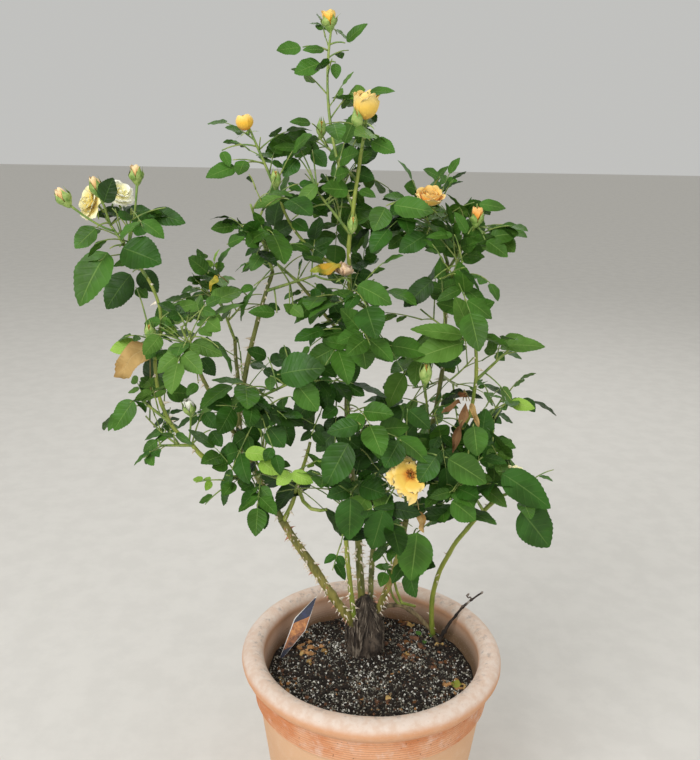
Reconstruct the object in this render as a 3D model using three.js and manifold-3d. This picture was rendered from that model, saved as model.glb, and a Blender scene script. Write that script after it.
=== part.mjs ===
// A rose bush in a terracotta pot, in millimetres, with the floor at z = 0 and the pot's axis at x = y = 0.
// Every cane, bough and mass of leaves is grown from the named sizes below by one seeded rule.
import * as THREE from "three";
import Module from "manifold-3d";

const wasm = await Module();
wasm.setup();

// Sizes of the pot: the rolled rim is an ellipse in section, with a slanting band below it
const potSides = 40;
const rimMiddle = 152.2;
const rimHalfWidth = 14.1;
const rimCentreHeight = 290.7;
const rimHalfHeight = 13.3;
const rimSteps = 6;
const bandTop = [152.5, 272];
const bandFoot = [149.8, 240];
const bodyTop = [145.5, 237];
const bodyMiddle = [131, 130];
const footRadius = 115;
const footBevel = 3;
const innerWall = [
  [100, 16],
  [119, 140],
  [134.3, 256],
];

// Sizes of the soil, the graft knuckle with its old stub, and the plant label
const soilEdge = 256;
const soilCrown = 261;
const soilBump = 1.6;
const knuckleCentre = [-8, 42];
const knuckleSides = 11;
const knuckleProfile = [
  [0, 248],
  [31, 248],
  [28, 266],
  [25, 284],
  [26, 302],
  [22, 320],
  [12, 331],
  [0, 336],
];
const knuckleWobble = 0.09;
const labelCorners = [
  [-73, 66, 330],
  [-101, 52, 303],
  [-123.7, 23.5, 251],
  [-92, 46, 290],
];
const labelThickness = 1.2;

// Sizes of the twigs and leaves
const gap = 0.3;
const leafWidth = 0.78;
const leafThickness = 0.022;
const leafSink = 0.2;
const leafRoot = 9;
const shortestLeaflet = 23;
const twigFoot = 1.9;
const twigTip = 1.3;
const stalkFoot = 1.35;
const stalkTip = 1;
const lowestLeaf = 335;
const nextLeafTurn = 2.39996;
const leafWidest = 0.42;
const pairPlaces = [0.74, 0.46];
const onePairPlace = 0.62;
const pairShares = [0.86, 0.68];
const oddOfOnePair = 0.3;
const nearlyMeet = 0.002;
const roomCell = 3;
const roomStep = 2;
const spaceOfReach = 1.6;

const colours = {
  clay: 0xd9a582,
  pottingMix: 0x1e1a17,
  oldBark: 0x6d6152,
  greenBark: 0x7f8f3a,
  deadBark: 0x2b2420,
  label: 0x1d2340,
  leaf: 0x2f6b35,
};

const up = new THREE.Vector3(0, 0, 1);
const vector = ([x, y, z]) => new THREE.Vector3(x, y, z);
const plus = (a, b, share = 1) => a.clone().addScaledVector(b, share);
const cross = (a, b) => new THREE.Vector3().crossVectors(a, b);

// A dealer hands out the same numbers from 0 to 1 for the same seed
function dealer(seed) {
  let state = seed * 7919 + 101;
  return () => {
    state = (state * 48271) % 2147483647;
    return state / 2147483647;
  };
}

// A path runs from one point to another and bows out by a vector at its middle
function pointOn(path, t) {
  return plus(path.from.clone().lerp(path.to, t), path.bow, 4 * t * (1 - t));
}

function directionOn(path, t) {
  const run = path.to.clone().sub(path.from);
  return plus(run, path.bow, 4 * (1 - 2 * t)).normalize();
}

// A solid made of points and of faces that point outwards
function solidFrom(points, faces) {
  const mesh = new wasm.Mesh({
    numProp: 3,
    vertProperties: new Float32Array(points.flatMap((p) => [p.x, p.y, p.z])),
    triVerts: new Uint32Array(faces.flat()),
  });
  return new wasm.Manifold(mesh);
}

// A turned solid: the profile starts and ends on the axis, and the wobble moves a point of it
function turned(profile, sides, wobble = (p) => p) {
  const points = [new THREE.Vector3(0, 0, profile[0][1])];
  const rings = profile.slice(1, -1);
  rings.forEach(([radius, height], ring) => {
    for (let i = 0; i < sides; i++) {
      const angle = (2 * Math.PI * i) / sides;
      const x = radius * Math.cos(angle);
      const y = radius * Math.sin(angle);
      points.push(wobble(new THREE.Vector3(x, y, height), ring, i));
    }
  });
  points.push(new THREE.Vector3(0, 0, profile.at(-1)[1]));
  const last = points.length - 1;
  const top = 1 + (rings.length - 1) * sides;
  const faces = [];
  for (let i = 0; i < sides; i++) {
    const next = (i + 1) % sides;
    faces.push([0, 1 + next, 1 + i], [last, top + i, top + next]);
    for (let ring = 0; ring < rings.length - 1; ring++) {
      const low = 1 + ring * sides;
      const high = low + sides;
      faces.push([low + i, low + next, high + next], [low + i, high + next, high + i]);
    }
  }
  return { points, faces };
}

// A tapering limb along a path, closed at both ends; room is added to its radius and its far end
function tapered(path, foot, tip, sides, steps, room = 0) {
  const points = [];
  let side = cross(directionOn(path, 0), new THREE.Vector3(0.3, 1, 0.2)).normalize();
  for (let step = 0; step <= steps; step++) {
    const t = step / steps;
    const forward = directionOn(path, t);
    side = plus(side, forward, -side.dot(forward)).normalize();
    const other = cross(forward, side);
    const end = step === steps ? room : 0;
    const centre = plus(pointOn(path, t), forward, end);
    const radius = foot + (tip - foot) * t + room;
    for (let i = 0; i < sides; i++) {
      const angle = (2 * Math.PI * i) / sides;
      const rim = plus(centre, side, radius * Math.cos(angle));
      points.push(plus(rim, other, radius * Math.sin(angle)));
    }
  }
  const faces = [];
  for (let step = 0; step < steps; step++) {
    for (let i = 0; i < sides; i++) {
      const next = (i + 1) % sides;
      const low = step * sides;
      const high = low + sides;
      faces.push([low + i, low + next, high + next], [low + i, high + next, high + i]);
    }
  }
  const far = steps * sides;
  for (let i = 1; i < sides - 1; i++) {
    faces.push([0, i + 1, i], [far, far + i, far + i + 1]);
  }
  return solidFrom(points, faces);
}

// The separate bodies of a solid, each as a list of faces with its volume
function bodiesOf(mesh) {
  const parent = Array.from({ length: mesh.vertProperties.length / 3 }, (_, i) => i);
  const root = (i) => {
    while (parent[i] !== i) i = parent[i] = parent[parent[i]];
    return i;
  };
  const corners = mesh.triVerts;
  for (let i = 0; i < corners.length; i += 3) {
    parent[root(corners[i])] = root(corners[i + 1]);
    parent[root(corners[i + 1])] = root(corners[i + 2]);
  }
  const place = (i) => new THREE.Vector3().fromArray(mesh.vertProperties, 3 * i);
  const bodies = new Map();
  for (let i = 0; i < corners.length; i += 3) {
    const key = root(corners[i]);
    if (!bodies.has(key)) bodies.set(key, { faces: [], volume: 0 });
    const body = bodies.get(key);
    const face = [corners[i], corners[i + 1], corners[i + 2]];
    body.faces.push(face);
    body.volume += place(face[0]).dot(cross(place(face[1]), place(face[2]))) / 6;
  }
  return [...bodies.values()].sort((a, b) => b.volume - a.volume);
}

// The largest body of a solid, without loose scraps
function largestBody(solid) {
  const mesh = solid.getMesh();
  const faces = bodiesOf(mesh)[0].faces;
  const used = [...new Set(faces.flat())];
  const rank = new Map(used.map((old, index) => [old, index]));
  const points = used.map((i) => new THREE.Vector3().fromArray(mesh.vertProperties, 3 * i));
  return solidFrom(points, faces.map((face) => face.map((i) => rank.get(i))));
}

// A solid is sound when it is one body and no two of its corners nearly meet
function isSound(solid) {
  const mesh = solid.getMesh();
  if (bodiesOf(mesh).length !== 1) return false;
  const p = mesh.vertProperties;
  for (let i = 0; i < p.length; i += 3) {
    for (let j = i + 3; j < p.length; j += 3) {
      if (Math.abs(p[i] - p[j]) > nearlyMeet) continue;
      if (Math.abs(p[i + 1] - p[j + 1]) > nearlyMeet) continue;
      if (Math.abs(p[i + 2] - p[j + 2]) < nearlyMeet) return false;
    }
  }
  return true;
}

// The room taken up so far, in small cells: a leaf may not enter a cell beside another piece's
const roomTaken = new Map();

function cellsBeside(point, reach) {
  const [x, y, z] = point.toArray().map((value) => Math.floor(value / roomCell) + 300);
  const cells = [];
  for (let i = x - reach; i <= x + reach; i++) {
    for (let j = y - reach; j <= y + reach; j++) {
      for (let k = z - reach; k <= z + reach; k++) cells.push((i * 600 + j) * 900 + k);
    }
  }
  return cells;
}

function takeRoom(points, owner) {
  for (const point of points) roomTaken.set(cellsBeside(point, 0)[0], owner);
}

function hasRoom(points, ...owners) {
  const free = (cell) => !roomTaken.has(cell) || owners.includes(roomTaken.get(cell));
  return points.every((point) => cellsBeside(point, 1).every(free));
}

// Points all along a limb, on its axis and round its skin
function pointsAlong(path, radius = 0) {
  const points = [];
  const steps = Math.ceil(path.from.distanceTo(path.to) / roomStep) + 2;
  for (let step = 0; step <= steps; step++) {
    const forward = directionOn(path, step / steps);
    const centre = pointOn(path, step / steps);
    points.push(centre);
    if (radius < 1.5) continue;
    const side = cross(forward, new THREE.Vector3(0.3, 1, 0.2)).normalize();
    const other = cross(forward, side);
    for (let angle = 0; angle < 6.2; angle += 0.7) {
      const rim = plus(centre, side, radius * Math.cos(angle));
      points.push(plus(rim, other, radius * Math.sin(angle)));
    }
  }
  return points;
}

// Pot, soil, knuckle and label

function potProfile() {
  const rim = [];
  for (let i = 0; i <= rimSteps; i++) {
    const angle = -0.72 + ((Math.PI + 1.0) * i) / rimSteps;
    const radius = rimMiddle + rimHalfWidth * Math.cos(angle);
    rim.push([radius, rimCentreHeight + rimHalfHeight * Math.sin(angle)]);
  }
  return [
    [0, 0],
    [footRadius - footBevel, 0],
    [footRadius, footBevel],
    bodyMiddle,
    bodyTop,
    bandFoot,
    bandTop,
    ...rim,
    ...innerWall.toReversed(),
    [0, innerWall[0][1]],
  ];
}

function soil(lift) {
  const deal = dealer(11);
  const inside = innerWall.map(([radius, height]) => [radius - gap, height]);
  inside[0][1] += gap;
  const mound = [100, 52].map((radius, i) => [radius, soilEdge + (i + 1) * 1.8]);
  const profile = [[0, inside[0][1]], ...inside, ...mound, [0, soilCrown]];
  const wobble = (p, ring) => {
    if (ring >= inside.length) p.z += (deal() - 0.5) * 2 * soilBump;
    if (ring >= inside.length - 1) p.z += lift;
    return p;
  };
  const { points, faces } = turned(profile, potSides, wobble);
  points.at(-1).z += lift;
  return solidFrom(points, faces);
}

function knuckle(room) {
  const deal = dealer(23);
  const wobble = (p) => {
    const share = 1 + (deal() - 0.5) * 2 * knuckleWobble + room / Math.hypot(p.x, p.y);
    return new THREE.Vector3(p.x * share, p.y * share, p.z);
  };
  const { points, faces } = turned(knuckleProfile, knuckleSides, wobble);
  points.forEach((p) => p.add(new THREE.Vector3(...knuckleCentre, 0)));
  points.at(-1).z += room;
  return solidFrom(points, faces);
}

function label() {
  const corners = labelCorners.map(vector);
  const across = corners[1].clone().sub(corners[0]);
  const down = corners[2].clone().sub(corners[0]);
  const face = cross(across, down).normalize();
  const points = [
    ...corners.map((p) => plus(p, face, -labelThickness / 2)),
    ...corners.map((p) => plus(p, face, labelThickness / 2)),
  ];
  const faces = [
    [0, 2, 1],
    [0, 3, 2],
    [4, 5, 6],
    [4, 6, 7],
  ];
  for (let i = 0; i < 4; i++) {
    const next = (i + 1) % 4;
    faces.push([i, next, next + 4], [i, next + 4, i + 4]);
  }
  return solidFrom(points, faces);
}

const group = new THREE.Group();

function show(name, solid, colour, roughness) {
  const mesh = solid.getMesh();
  const geometry = new THREE.BufferGeometry();
  geometry.setAttribute("position", new THREE.BufferAttribute(mesh.vertProperties, 3));
  geometry.setIndex(new THREE.BufferAttribute(mesh.triVerts, 1));
  const flat = geometry.toNonIndexed();
  flat.computeVertexNormals();
  const material = new THREE.MeshStandardMaterial({ color: colour, roughness, metalness: 0 });
  const node = new THREE.Mesh(flat, material);
  node.name = name;
  group.add(node);
}

const pot = turned(potProfile(), potSides);
show("pot", solidFrom(pot.points, pot.faces), colours.clay, 0.85);
show("soil", soil(0), colours.pottingMix, 0.95);

const paths = {
  graft_knuckle: { from: vector([4, 48, 312]), to: vector([98, 66, 256]), bow: vector([-4, 2, 34]) },
};
const stub = (room) => tapered(paths.graft_knuckle, 5, 3.8, 7, 7, room);
const raisedSoil = soil(gap);
const graft = largestBody(knuckle(0).add(stub(0)).subtract(raisedSoil));
const clearOfLimbs = [raisedSoil, knuckle(gap), stub(gap)];
const clearances = [stub(gap)];
show("graft_knuckle", graft, colours.oldBark, 0.9);
takeRoom(pointsAlong(paths.graft_knuckle, 5), "graft_knuckle");

const labelSolid = largestBody(label().subtract(raisedSoil));
show("plant_label", labelSolid, colours.label, 0.5);

// Limbs: each starts inside the knuckle, or on another limb at a share of its length

function limb(name, on, start, to, bow, foot, tip, colour = colours.greenBark) {
  const from = Array.isArray(start) ? vector(start) : pointOn(paths[on], start);
  const path = { from, to: vector(to), bow: vector(bow) };
  const sides = foot > 3.4 ? 7 : 5;
  const steps = Math.max(3, Math.round(path.from.distanceTo(path.to) / 48));
  let solid = tapered(path, foot, tip, sides, steps);
  for (const other of clearOfLimbs) solid = solid.subtract(other);
  clearances.push(tapered(path, foot, tip, sides, steps, gap));
  clearOfLimbs.push(clearances.at(-1));
  paths[name] = path;
  takeRoom(pointsAlong(path, foot), name);
  show(name, largestBody(solid), colour, 0.6);
}

const inKnuckle = "graft_knuckle";
limb("cane_left", inKnuckle, [-22, 36, 304], [-115, 0, 475], [-2, -5, 2], 6.4, 4.8);
limb("cane_slim", inKnuckle, [-21, 33, 312], [-35, 10, 445], [-2, 2, -2], 3.6, 3.0);
limb("cane_centre", inKnuckle, [-12, 46, 318], [-20, 50, 445], [0, 2, -2], 5.2, 4.4);
limb("cane_back", inKnuckle, [0, 56, 316], [5, 110, 400], [-2, -3, 0], 4.0, 3.4);
limb("cane_fourth", inKnuckle, [6, 44, 318], [40, 15, 470], [4, 2, -8], 4.6, 3.6);
limb("cane_right", inKnuckle, 0.9, [150, -10, 515], [-28, 5, 0], 3.5, 2.6);
limb("dead_twig", inKnuckle, 0.98, [152, 78, 330], [-8, -6, 8], 2.6, 1.7, colours.deadBark);
limb("bough_left_fork", "cane_left", 1, [-165, -10, 585], [0, -5, 0], 4.2, 3.8);
limb("bough_left_tall", "bough_left_fork", 1, [-125, 20, 780], [-10, 5, -8], 3.6, 2.2);
limb("bough_left_back", "bough_left_fork", 0.93, [-180, 90, 680], [-2, 15, -10], 3.0, 2.2);
limb("shoot_left_bend", "bough_left_fork", 0.9, [-215, -35, 585], [0, -8, -18], 3.0, 2.6);
limb("bough_far_left", "shoot_left_bend", 1, [-255, -30, 685], [-10, -2, -10], 2.4, 2.0);
limb("bough_left_inner", "bough_left_fork", 0.98, [-205, -50, 690], [-5, -10, 8], 2.8, 2.2);
limb("bough_left_top", "bough_far_left", 1, [-262.5, -15, 777], [11, 0, -1], 1.9, 1.7);
limb("stub_cut", "cane_left", 0.98, [-80, -5, 580], [4, -8, 2], 3.2, 2.2);
limb("bough_centre", "cane_centre", 1, [-35, 15, 750], [-8, -2, 12], 4.2, 2.8);
limb("bough_high", "bough_centre", 1, [-25, 0, 920], [-5, -8, 0], 2.6, 2.0);
limb("bough_slanting", "bough_centre", 0.8, [-95, 10, 770], [3, 0, -3], 2.3, 1.9);
limb("bough_yellow_bud", "bough_high", 0.2, [-115, 20, 860], [-12, 5, -8], 2.0, 1.6);
limb("bough_right_tall", "cane_fourth", 1, [80, 50, 790], [15, 8, -10], 3.3, 2.2);
limb("bough_right_middle", "bough_right_tall", 0.27, [110, -10, 705], [20, -10, -20], 2.7, 2.0);

// One compound leaf: a drooping stalk with one leaflet at its end and one or two pairs on its sides
function compoundLeaf(foot, heading, size, deal) {
  const long = size * (1.15 + 0.6 * deal());
  const droop = 0.08 + 0.3 * deal();
  const roll = (deal() - 0.5) * 1.2;
  const pairs = deal() < oddOfOnePair ? 1 : 2;
  const ahead = plus(heading, up, 0.12).normalize();
  const at = (t) => plus(plus(foot, ahead, long * t), up, -droop * long * t * t);
  const frameAt = (t) => {
    const forward = plus(ahead, up, -2 * droop * t).normalize();
    let side = cross(forward, up);
    if (side.length() < 0.15) side = cross(forward, new THREE.Vector3(0, 1, 0));
    side.normalize();
    const face = cross(side, forward);
    const tilted = side.multiplyScalar(Math.cos(roll)).addScaledVector(face, Math.sin(roll));
    return { forward, side: tilted, face: cross(tilted, forward) };
  };
  const leaflets = [];
  for (let i = 0; i < 5; i++) {
    const [a, b, c] = [deal(), deal(), deal()];
    const pair = Math.floor((i - 1) / 2);
    if (pair >= pairs) continue;
    let t = 1;
    let way;
    let leafLong = size * (0.95 + 0.25 * a);
    if (i > 0) t = pairs === 1 ? onePairPlace : pairPlaces[pair];
    const frame = frameAt(t);
    if (i === 0) {
      way = frame.forward;
    } else {
      const angle = 0.95 + 0.35 * (a - 0.5);
      const handed = i % 2 ? 1 : -1;
      way = frame.forward.clone().multiplyScalar(Math.cos(angle));
      way = plus(way, frame.side, handed * Math.sin(angle)).normalize();
      leafLong = size * (pairShares[pair] + 0.16 * (a - 0.5));
    }
    way = plus(way, up, -(0.25 + 0.5 * c) * 0.6).normalize();
    const tilt = (b - 0.5) * 0.9;
    const face = plus(frame.face, way, -frame.face.dot(way)).normalize();
    const across = cross(way, face);
    const turnedFace = face.multiplyScalar(Math.cos(tilt)).addScaledVector(across, Math.sin(tilt));
    const root = foot.clone().lerp(at(1), t);
    leaflets.push({ foot: root, ahead: way, face: turnedFace, long: leafLong });
  }
  return { stalk: { from: foot, to: at(1), bow: new THREE.Vector3() }, leaflets };
}

// The corners of a leaflet on either side and on top, where it is widest
function leafletMiddle(leaf) {
  const side = cross(leaf.ahead, leaf.face);
  const middle = plus(leaf.foot, leaf.ahead, leafWidest * leaf.long);
  const half = (leafWidth * leaf.long) / 2;
  const top = plus(middle, leaf.face, leafThickness * leaf.long);
  return [plus(middle, side, -half), top, plus(middle, side, half)];
}

// A side leaflet is a thin kite with a raised midrib, and its foot is sunk into the stalk
function leafletSolid(leaf) {
  const foot = plus(leaf.foot, leaf.ahead, -leafSink);
  const tip = plus(leaf.foot, leaf.ahead, leaf.long);
  const faces = [
    [0, 3, 2],
    [3, 4, 2],
    [4, 1, 2],
    [1, 0, 2],
    [3, 0, 4],
    [0, 1, 4],
  ];
  return solidFrom([foot, ...leafletMiddle(leaf), tip], faces);
}

// The stalk widens into the leaflet at its end
function stalkSolid(foot, leaf) {
  const side = cross(leaf.ahead, leaf.face);
  const ring = (centre, r) => [
    plus(centre, side, -r),
    plus(centre, leaf.face, r),
    plus(centre, side, r),
  ];
  const tip = plus(leaf.foot, leaf.ahead, leaf.long);
  const points = [...ring(foot, stalkFoot), ...ring(leaf.foot, stalkTip), ...leafletMiddle(leaf), tip];
  const faces = [[0, 2, 1]];
  for (let i = 0; i < 3; i++) {
    const next = (i + 1) % 3;
    faces.push([i, next, 3 + next], [i, 3 + next, 3 + i]);
    faces.push([3 + i, 3 + next, 6 + next], [3 + i, 6 + next, 6 + i]);
    faces.push([6 + i, 6 + next, 9]);
  }
  return solidFrom(points, faces);
}

function leafletPoints(leaf) {
  const side = cross(leaf.ahead, leaf.face);
  const points = [];
  for (let run = leafRoot; run <= leaf.long + 1; run += roomStep) {
    const share = run / leaf.long;
    const taper = Math.min(share / leafWidest, (1.05 - share) / (1 - leafWidest));
    const half = (leafWidth * leaf.long * taper) / 2;
    for (let out = 0; out <= half + 0.5; out += roomStep) {
      for (const handed of [-1, 1]) {
        points.push(plus(plus(leaf.foot, leaf.ahead, run), side, handed * out));
      }
    }
  }
  return points;
}

// A mass of leaves: one stem from a limb, its side twigs, and its leaves dealt out in turn
function grow(mass) {
  const deal = dealer(mass.seed);
  const from = pointOn(paths[mass.on], mass.at);
  const stem = { from, to: vector(mass.to), bow: vector(mass.bow ?? [0, 0, 0]) };
  const shoots = [stem];
  const turn = deal() * 6.283;
  const across = (forward) => cross(forward, new THREE.Vector3(0.01, 0.02, 1)).normalize();
  for (let i = 0; i < (mass.twigs ?? 0); i++) {
    const t = 0.25 + (0.6 * (i + deal() * 0.6)) / mass.twigs;
    const angle = turn + i * 2.4 + deal() * 0.8;
    const forward = directionOn(stem, t);
    const one = across(forward);
    const other = cross(forward, one);
    const out = one.multiplyScalar(Math.cos(angle)).addScaledVector(other, Math.sin(angle));
    const way = plus(plus(out.multiplyScalar(0.85), forward, 0.55), up, 0.15).normalize();
    const long = mass.reach * (0.45 + 0.35 * deal());
    const foot = pointOn(stem, t);
    shoots.push({ from: foot, to: plus(foot, way, long), bow: new THREE.Vector3(0, 0, -0.04 * long) });
  }
  const leaves = [];
  const perShoot = Math.ceil(mass.leaves / shoots.length);
  for (let i = 0; i < mass.leaves; i++) {
    const shoot = shoots[i % shoots.length];
    const first = shoot === stem ? (mass.bare ?? 0.12) : 0.12;
    const place = (Math.floor(i / shoots.length) + 0.35 + 0.6 * deal()) / perShoot;
    const t = Math.min(1, first + (1 - first) * place);
    const angle = turn + i * nextLeafTurn + (deal() - 0.5);
    const forward = directionOn(shoot, t);
    const one = across(forward);
    const other = cross(forward, one);
    const out = one.multiplyScalar(Math.cos(angle)).addScaledVector(other, Math.sin(angle));
    const lift = 0.2 + 0.65 * deal();
    const heading = out.multiplyScalar(Math.cos(lift)).addScaledVector(forward, Math.sin(lift));
    const size = mass.leaf * (0.82 + 0.36 * deal());
    leaves.push({ shoot, ...compoundLeaf(pointOn(shoot, t), heading.normalize(), size, deal) });
  }
  return { stem, shoots, leaves };
}

// A bud or a bloom is a turned lump on its own stalk, in shares of its radius and its length
const flowerProfiles = {
  bud: [
    [0, 0],
    [0.8, 0.22],
    [1, 0.48],
    [0.55, 0.84],
    [0, 1],
  ],
  open: [
    [0, 0],
    [0.5, 0.14],
    [1, 0.56],
    [0.9, 0.84],
    [0.3, 0.78],
    [0, 0.7],
  ],
};

function flowerSolid(flower, stem) {
  const axis = vector(flower.axis).normalize();
  const profile = flowerProfiles[flower.kind].map(([r, h]) => [r * flower.radius, h * flower.long]);
  const { points, faces } = turned(profile, flower.kind === "bud" ? 5 : 7);
  const upright = new THREE.Quaternion().setFromUnitVectors(up, axis);
  const base = plus(vector(flower.at), axis, -flower.long / 2);
  points.forEach((p) => p.applyQuaternion(upright).add(base));
  const from = pointOn(stem, flower.share);
  const to = plus(base, axis, 0.3 * flower.long);
  const bow = axis.clone().multiplyScalar(-0.12 * from.distanceTo(to));
  const stalk = { from, to, bow };
  return { solid: solidFrom(points, faces).add(tapered(stalk, stalkFoot, stalkTip, 3, 2)), points, stalk };
}

const flowers = [];

function flower(mass, kind, at, axis, long, radius, share) {
  flowers.push({ mass, kind, at, axis, long, radius, share });
}

flower("top_shoot", "bud", [-60, 30, 1052], [0, 0, 1], 22, 8.5, 1);
flower("yellow_bud", "bud", [-155, 20, 946], [-0.3, 0, 1], 26, 12, 1);
flower("yellow_bud", "bud", [-120, 12, 886], [-0.1, 0, 1], 18, 6, 0.2);
flower("bloom_shoot", "open", [-20, -10, 966], [0.05, -0.1, 1], 34, 15, 1);
flower("bloom_shoot", "bud", [-31, -20, 950], [-0.2, -0.1, 1], 16, 6.5, 0.5);
flower("dark_high", "bud", [-72, 84, 940], [0, 0, 1], 18, 6.5, 1);
flower("upper_heart", "bud", [-37, -22, 842], [0, 0, 1], 24, 8, 0.1);
flower("left_cluster", "bud", [-345, -30, 865], [-0.5, 0, 0.8], 22, 8.5, 0.8);
flower("left_cluster", "bud", [-310, -36, 884], [-0.3, -0.2, 1], 24, 8, 0.9);
flower("left_cluster", "bud", [-268, -10, 892], [0, 0, 1], 24, 9, 0.5);
flower("left_cluster", "open", [-326, -8, 858], [-0.55, -0.55, 0.6], 28, 20, 1);
flower("left_cluster", "open", [-288, 12, 872], [0.25, -0.6, 0.75], 28, 20, 1);
flower("right_crown", "open", [50, 0, 872], [0.1, -0.4, 1], 26, 17, 0.95);
flower("right_high", "bud", [106, -4, 852], [0.1, 0, 1], 24, 8, 1);
flower("big_bloom", "open", [30, -110, 575], [0.15, -0.8, 0.5], 26, 25, 0.8);
flower("far_left", "bud", [-257, -42, 730], [-0.1, 0, 1], 20, 6.5, 0.9);
flower("green_bud", "bud", [55, -8, 672], [0, 0, 1], 24, 8, 1);
flower("left_drop", "bud", [-214, -52, 638], [-0.1, -0.3, 1], 18, 8, 0.15);
flower("spent_twig", "bud", [-42, -10, 790], [0, -0.2, 1], 22, 11, 1);

const masses = [];

function mass(name, on, at, to, more) {
  masses.push({ name, on, at, to, ...more });
}

mass("top_shoot", "bough_high", 0.62, [-60, 30, 1045], {
  seed: 67, leaves: 5, leaf: 30, reach: 75, bare: 0.42, bow: [-14, 4, 0],
});
mass("bloom_shoot", "bough_high", 1, [-20, -10, 955], {
  seed: 224, leaves: 6, leaf: 36, reach: 75, bare: 0,
});
mass("yellow_bud", "bough_yellow_bud", 1, [-150, 20, 940], { seed: 846, leaves: 6, leaf: 30, reach: 85 });
mass("left_cluster", "bough_left_top", 1, [-305, -10, 840], {
  seed: 554, leaves: 8, leaf: 38, reach: 110, twigs: 1, bare: 0,
});
mass("right_crown", "bough_right_tall", 1, [50, 30, 860], {
  seed: 22, leaves: 10, leaf: 40, reach: 100, twigs: 2,
});
mass("right_high", "bough_right_tall", 0.97, [105, 0, 840], {
  seed: 353, leaves: 6, leaf: 34, reach: 70, twigs: 1,
});
mass("right_end", "cane_right", 1, [175, -30, 535], {
  seed: 508, leaves: 3, leaf: 46, reach: 75, bare: 0.3,
});
mass("right_tip", "bough_right_middle", 0.8, [150, -20, 705], {
  seed: 445, leaves: 3, leaf: 36, reach: 60,
});
mass("low_right", "cane_fourth", 0.75, [45, -40, 475], { seed: 128, leaves: 4, leaf: 46, reach: 70 });
mass("far_left", "bough_far_left", 1, [-260, -30, 720], { seed: 447, leaves: 4, leaf: 28, reach: 60 });
mass("far_left_low", "bough_far_left", 0.35, [-275, -40, 645], {
  seed: 746, leaves: 3, leaf: 36, reach: 60,
});
mass("centre_front", "bough_left_tall", 0.22, [-95, -70, 675], {
  seed: 96, leaves: 7, leaf: 44, reach: 90, twigs: 1,
});
mass("centre_top", "bough_centre", 1, [-10, -30, 745], {
  seed: 684, leaves: 9, leaf: 42, reach: 90, twigs: 2,
});
mass("centre_low", "cane_slim", 1, [-30, -70, 545], {
  seed: 330, leaves: 8, leaf: 46, reach: 95, twigs: 2,
});
mass("centre_middle", "bough_centre", 0.72, [-35, -60, 620], {
  seed: 511, leaves: 6, leaf: 40, reach: 70, twigs: 1,
});
mass("big_bloom", "cane_fourth", 1, [30, -60, 580], {
  seed: 76, leaves: 8, leaf: 42, reach: 80, twigs: 2,
});
mass("right_low", "cane_right", 0.9, [100, -50, 555], {
  seed: 803, leaves: 8, leaf: 44, reach: 75, twigs: 1,
});
mass("lime", "bough_left_fork", 0.55, [-130, -70, 570], {
  seed: 880, leaves: 10, leaf: 36, reach: 90, twigs: 3,
});
mass("right_light", "bough_right_middle", 1, [85, -30, 720], {
  seed: 185, leaves: 7, leaf: 42, reach: 85, twigs: 1,
});
mass("hanging", "bough_right_tall", 0.93, [90, -10, 800], {
  seed: 689, leaves: 8, leaf: 38, reach: 85, twigs: 2,
});
mass("upper_heart", "bough_high", 0.45, [-75, 0, 875], {
  seed: 859, leaves: 6, leaf: 38, reach: 75, twigs: 1,
});
mass("dark_high", "bough_high", 0.8, [-75, 90, 930], {
  seed: 641, leaves: 7, leaf: 38, reach: 80, twigs: 1,
});
mass("left_high", "bough_left_tall", 1, [-145, -20, 860], {
  seed: 316, leaves: 9, leaf: 34, reach: 85, twigs: 2,
});
mass("left_shoulder", "bough_slanting", 1, [-140, 50, 800], { seed: 565, leaves: 5, leaf: 34, reach: 65 });
mass("spent_twig", "bough_left_tall", 0.9, [-75, 0, 780], {
  seed: 170, leaves: 2, leaf: 26, reach: 50, bare: 0.5,
});
mass("left_middle", "bough_left_back", 1, [-205, 70, 765], {
  seed: 368, leaves: 11, leaf: 32, reach: 95, twigs: 3,
});
mass("left_inner", "bough_left_inner", 1, [-220, -50, 730], {
  seed: 233, leaves: 8, leaf: 34, reach: 80, twigs: 1,
});
mass("left_drop", "shoot_left_bend", 1, [-250, -50, 590], {
  seed: 67, leaves: 6, leaf: 30, reach: 75, twigs: 1,
});
mass("green_bud", "bough_right_tall", 0.35, [55, 0, 650], {
  seed: 215, leaves: 6, leaf: 34, reach: 65, twigs: 1,
});
mass("right_middle", "bough_right_middle", 0.55, [140, 0, 610], {
  seed: 602, leaves: 7, leaf: 32, reach: 85, twigs: 2,
});
mass("hook_shoot", inKnuckle, 0.5, [25, 50, 385], {
  seed: 835, leaves: 2, leaf: 24, reach: 40, bare: 0.7, bow: [-8, 0, -10],
});
mass("back_left", "bough_left_back", 0.6, [-175, 200, 585], {
  seed: 569, leaves: 8, leaf: 36, reach: 100, twigs: 3,
});
mass("back_low", "cane_back", 1, [5, 170, 470], { seed: 538, leaves: 8, leaf: 38, reach: 100, twigs: 3 });
mass("back_right", "bough_right_tall", 0.6, [120, 200, 590], {
  seed: 429, leaves: 8, leaf: 38, reach: 100, twigs: 3,
});
mass("back_high", "bough_centre", 0.95, [-40, 180, 730], {
  seed: 87, leaves: 9, leaf: 36, reach: 95, twigs: 3,
});

// Stems and side twigs take their room first, then flowers, and leaves fill what is left
const grown = masses.map((one) => ({ ...one, ...grow(one) }));
for (const one of grown) takeRoom(pointsAlong(one.stem), one.name);
for (const one of grown) {
  one.flowers = flowers.filter((f) => f.mass === one.name).map((f) => flowerSolid(f, one.stem));
  for (const { points, stalk } of one.flowers) {
    takeRoom([...points, ...pointsAlong(stalk)], one.name);
  }
  one.shoots = one.shoots.filter((shoot) => {
    const points = pointsAlong(shoot);
    if (shoot !== one.stem && !hasRoom(points, one.name)) return false;
    takeRoom(points, one.name);
    return true;
  });
}

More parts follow.
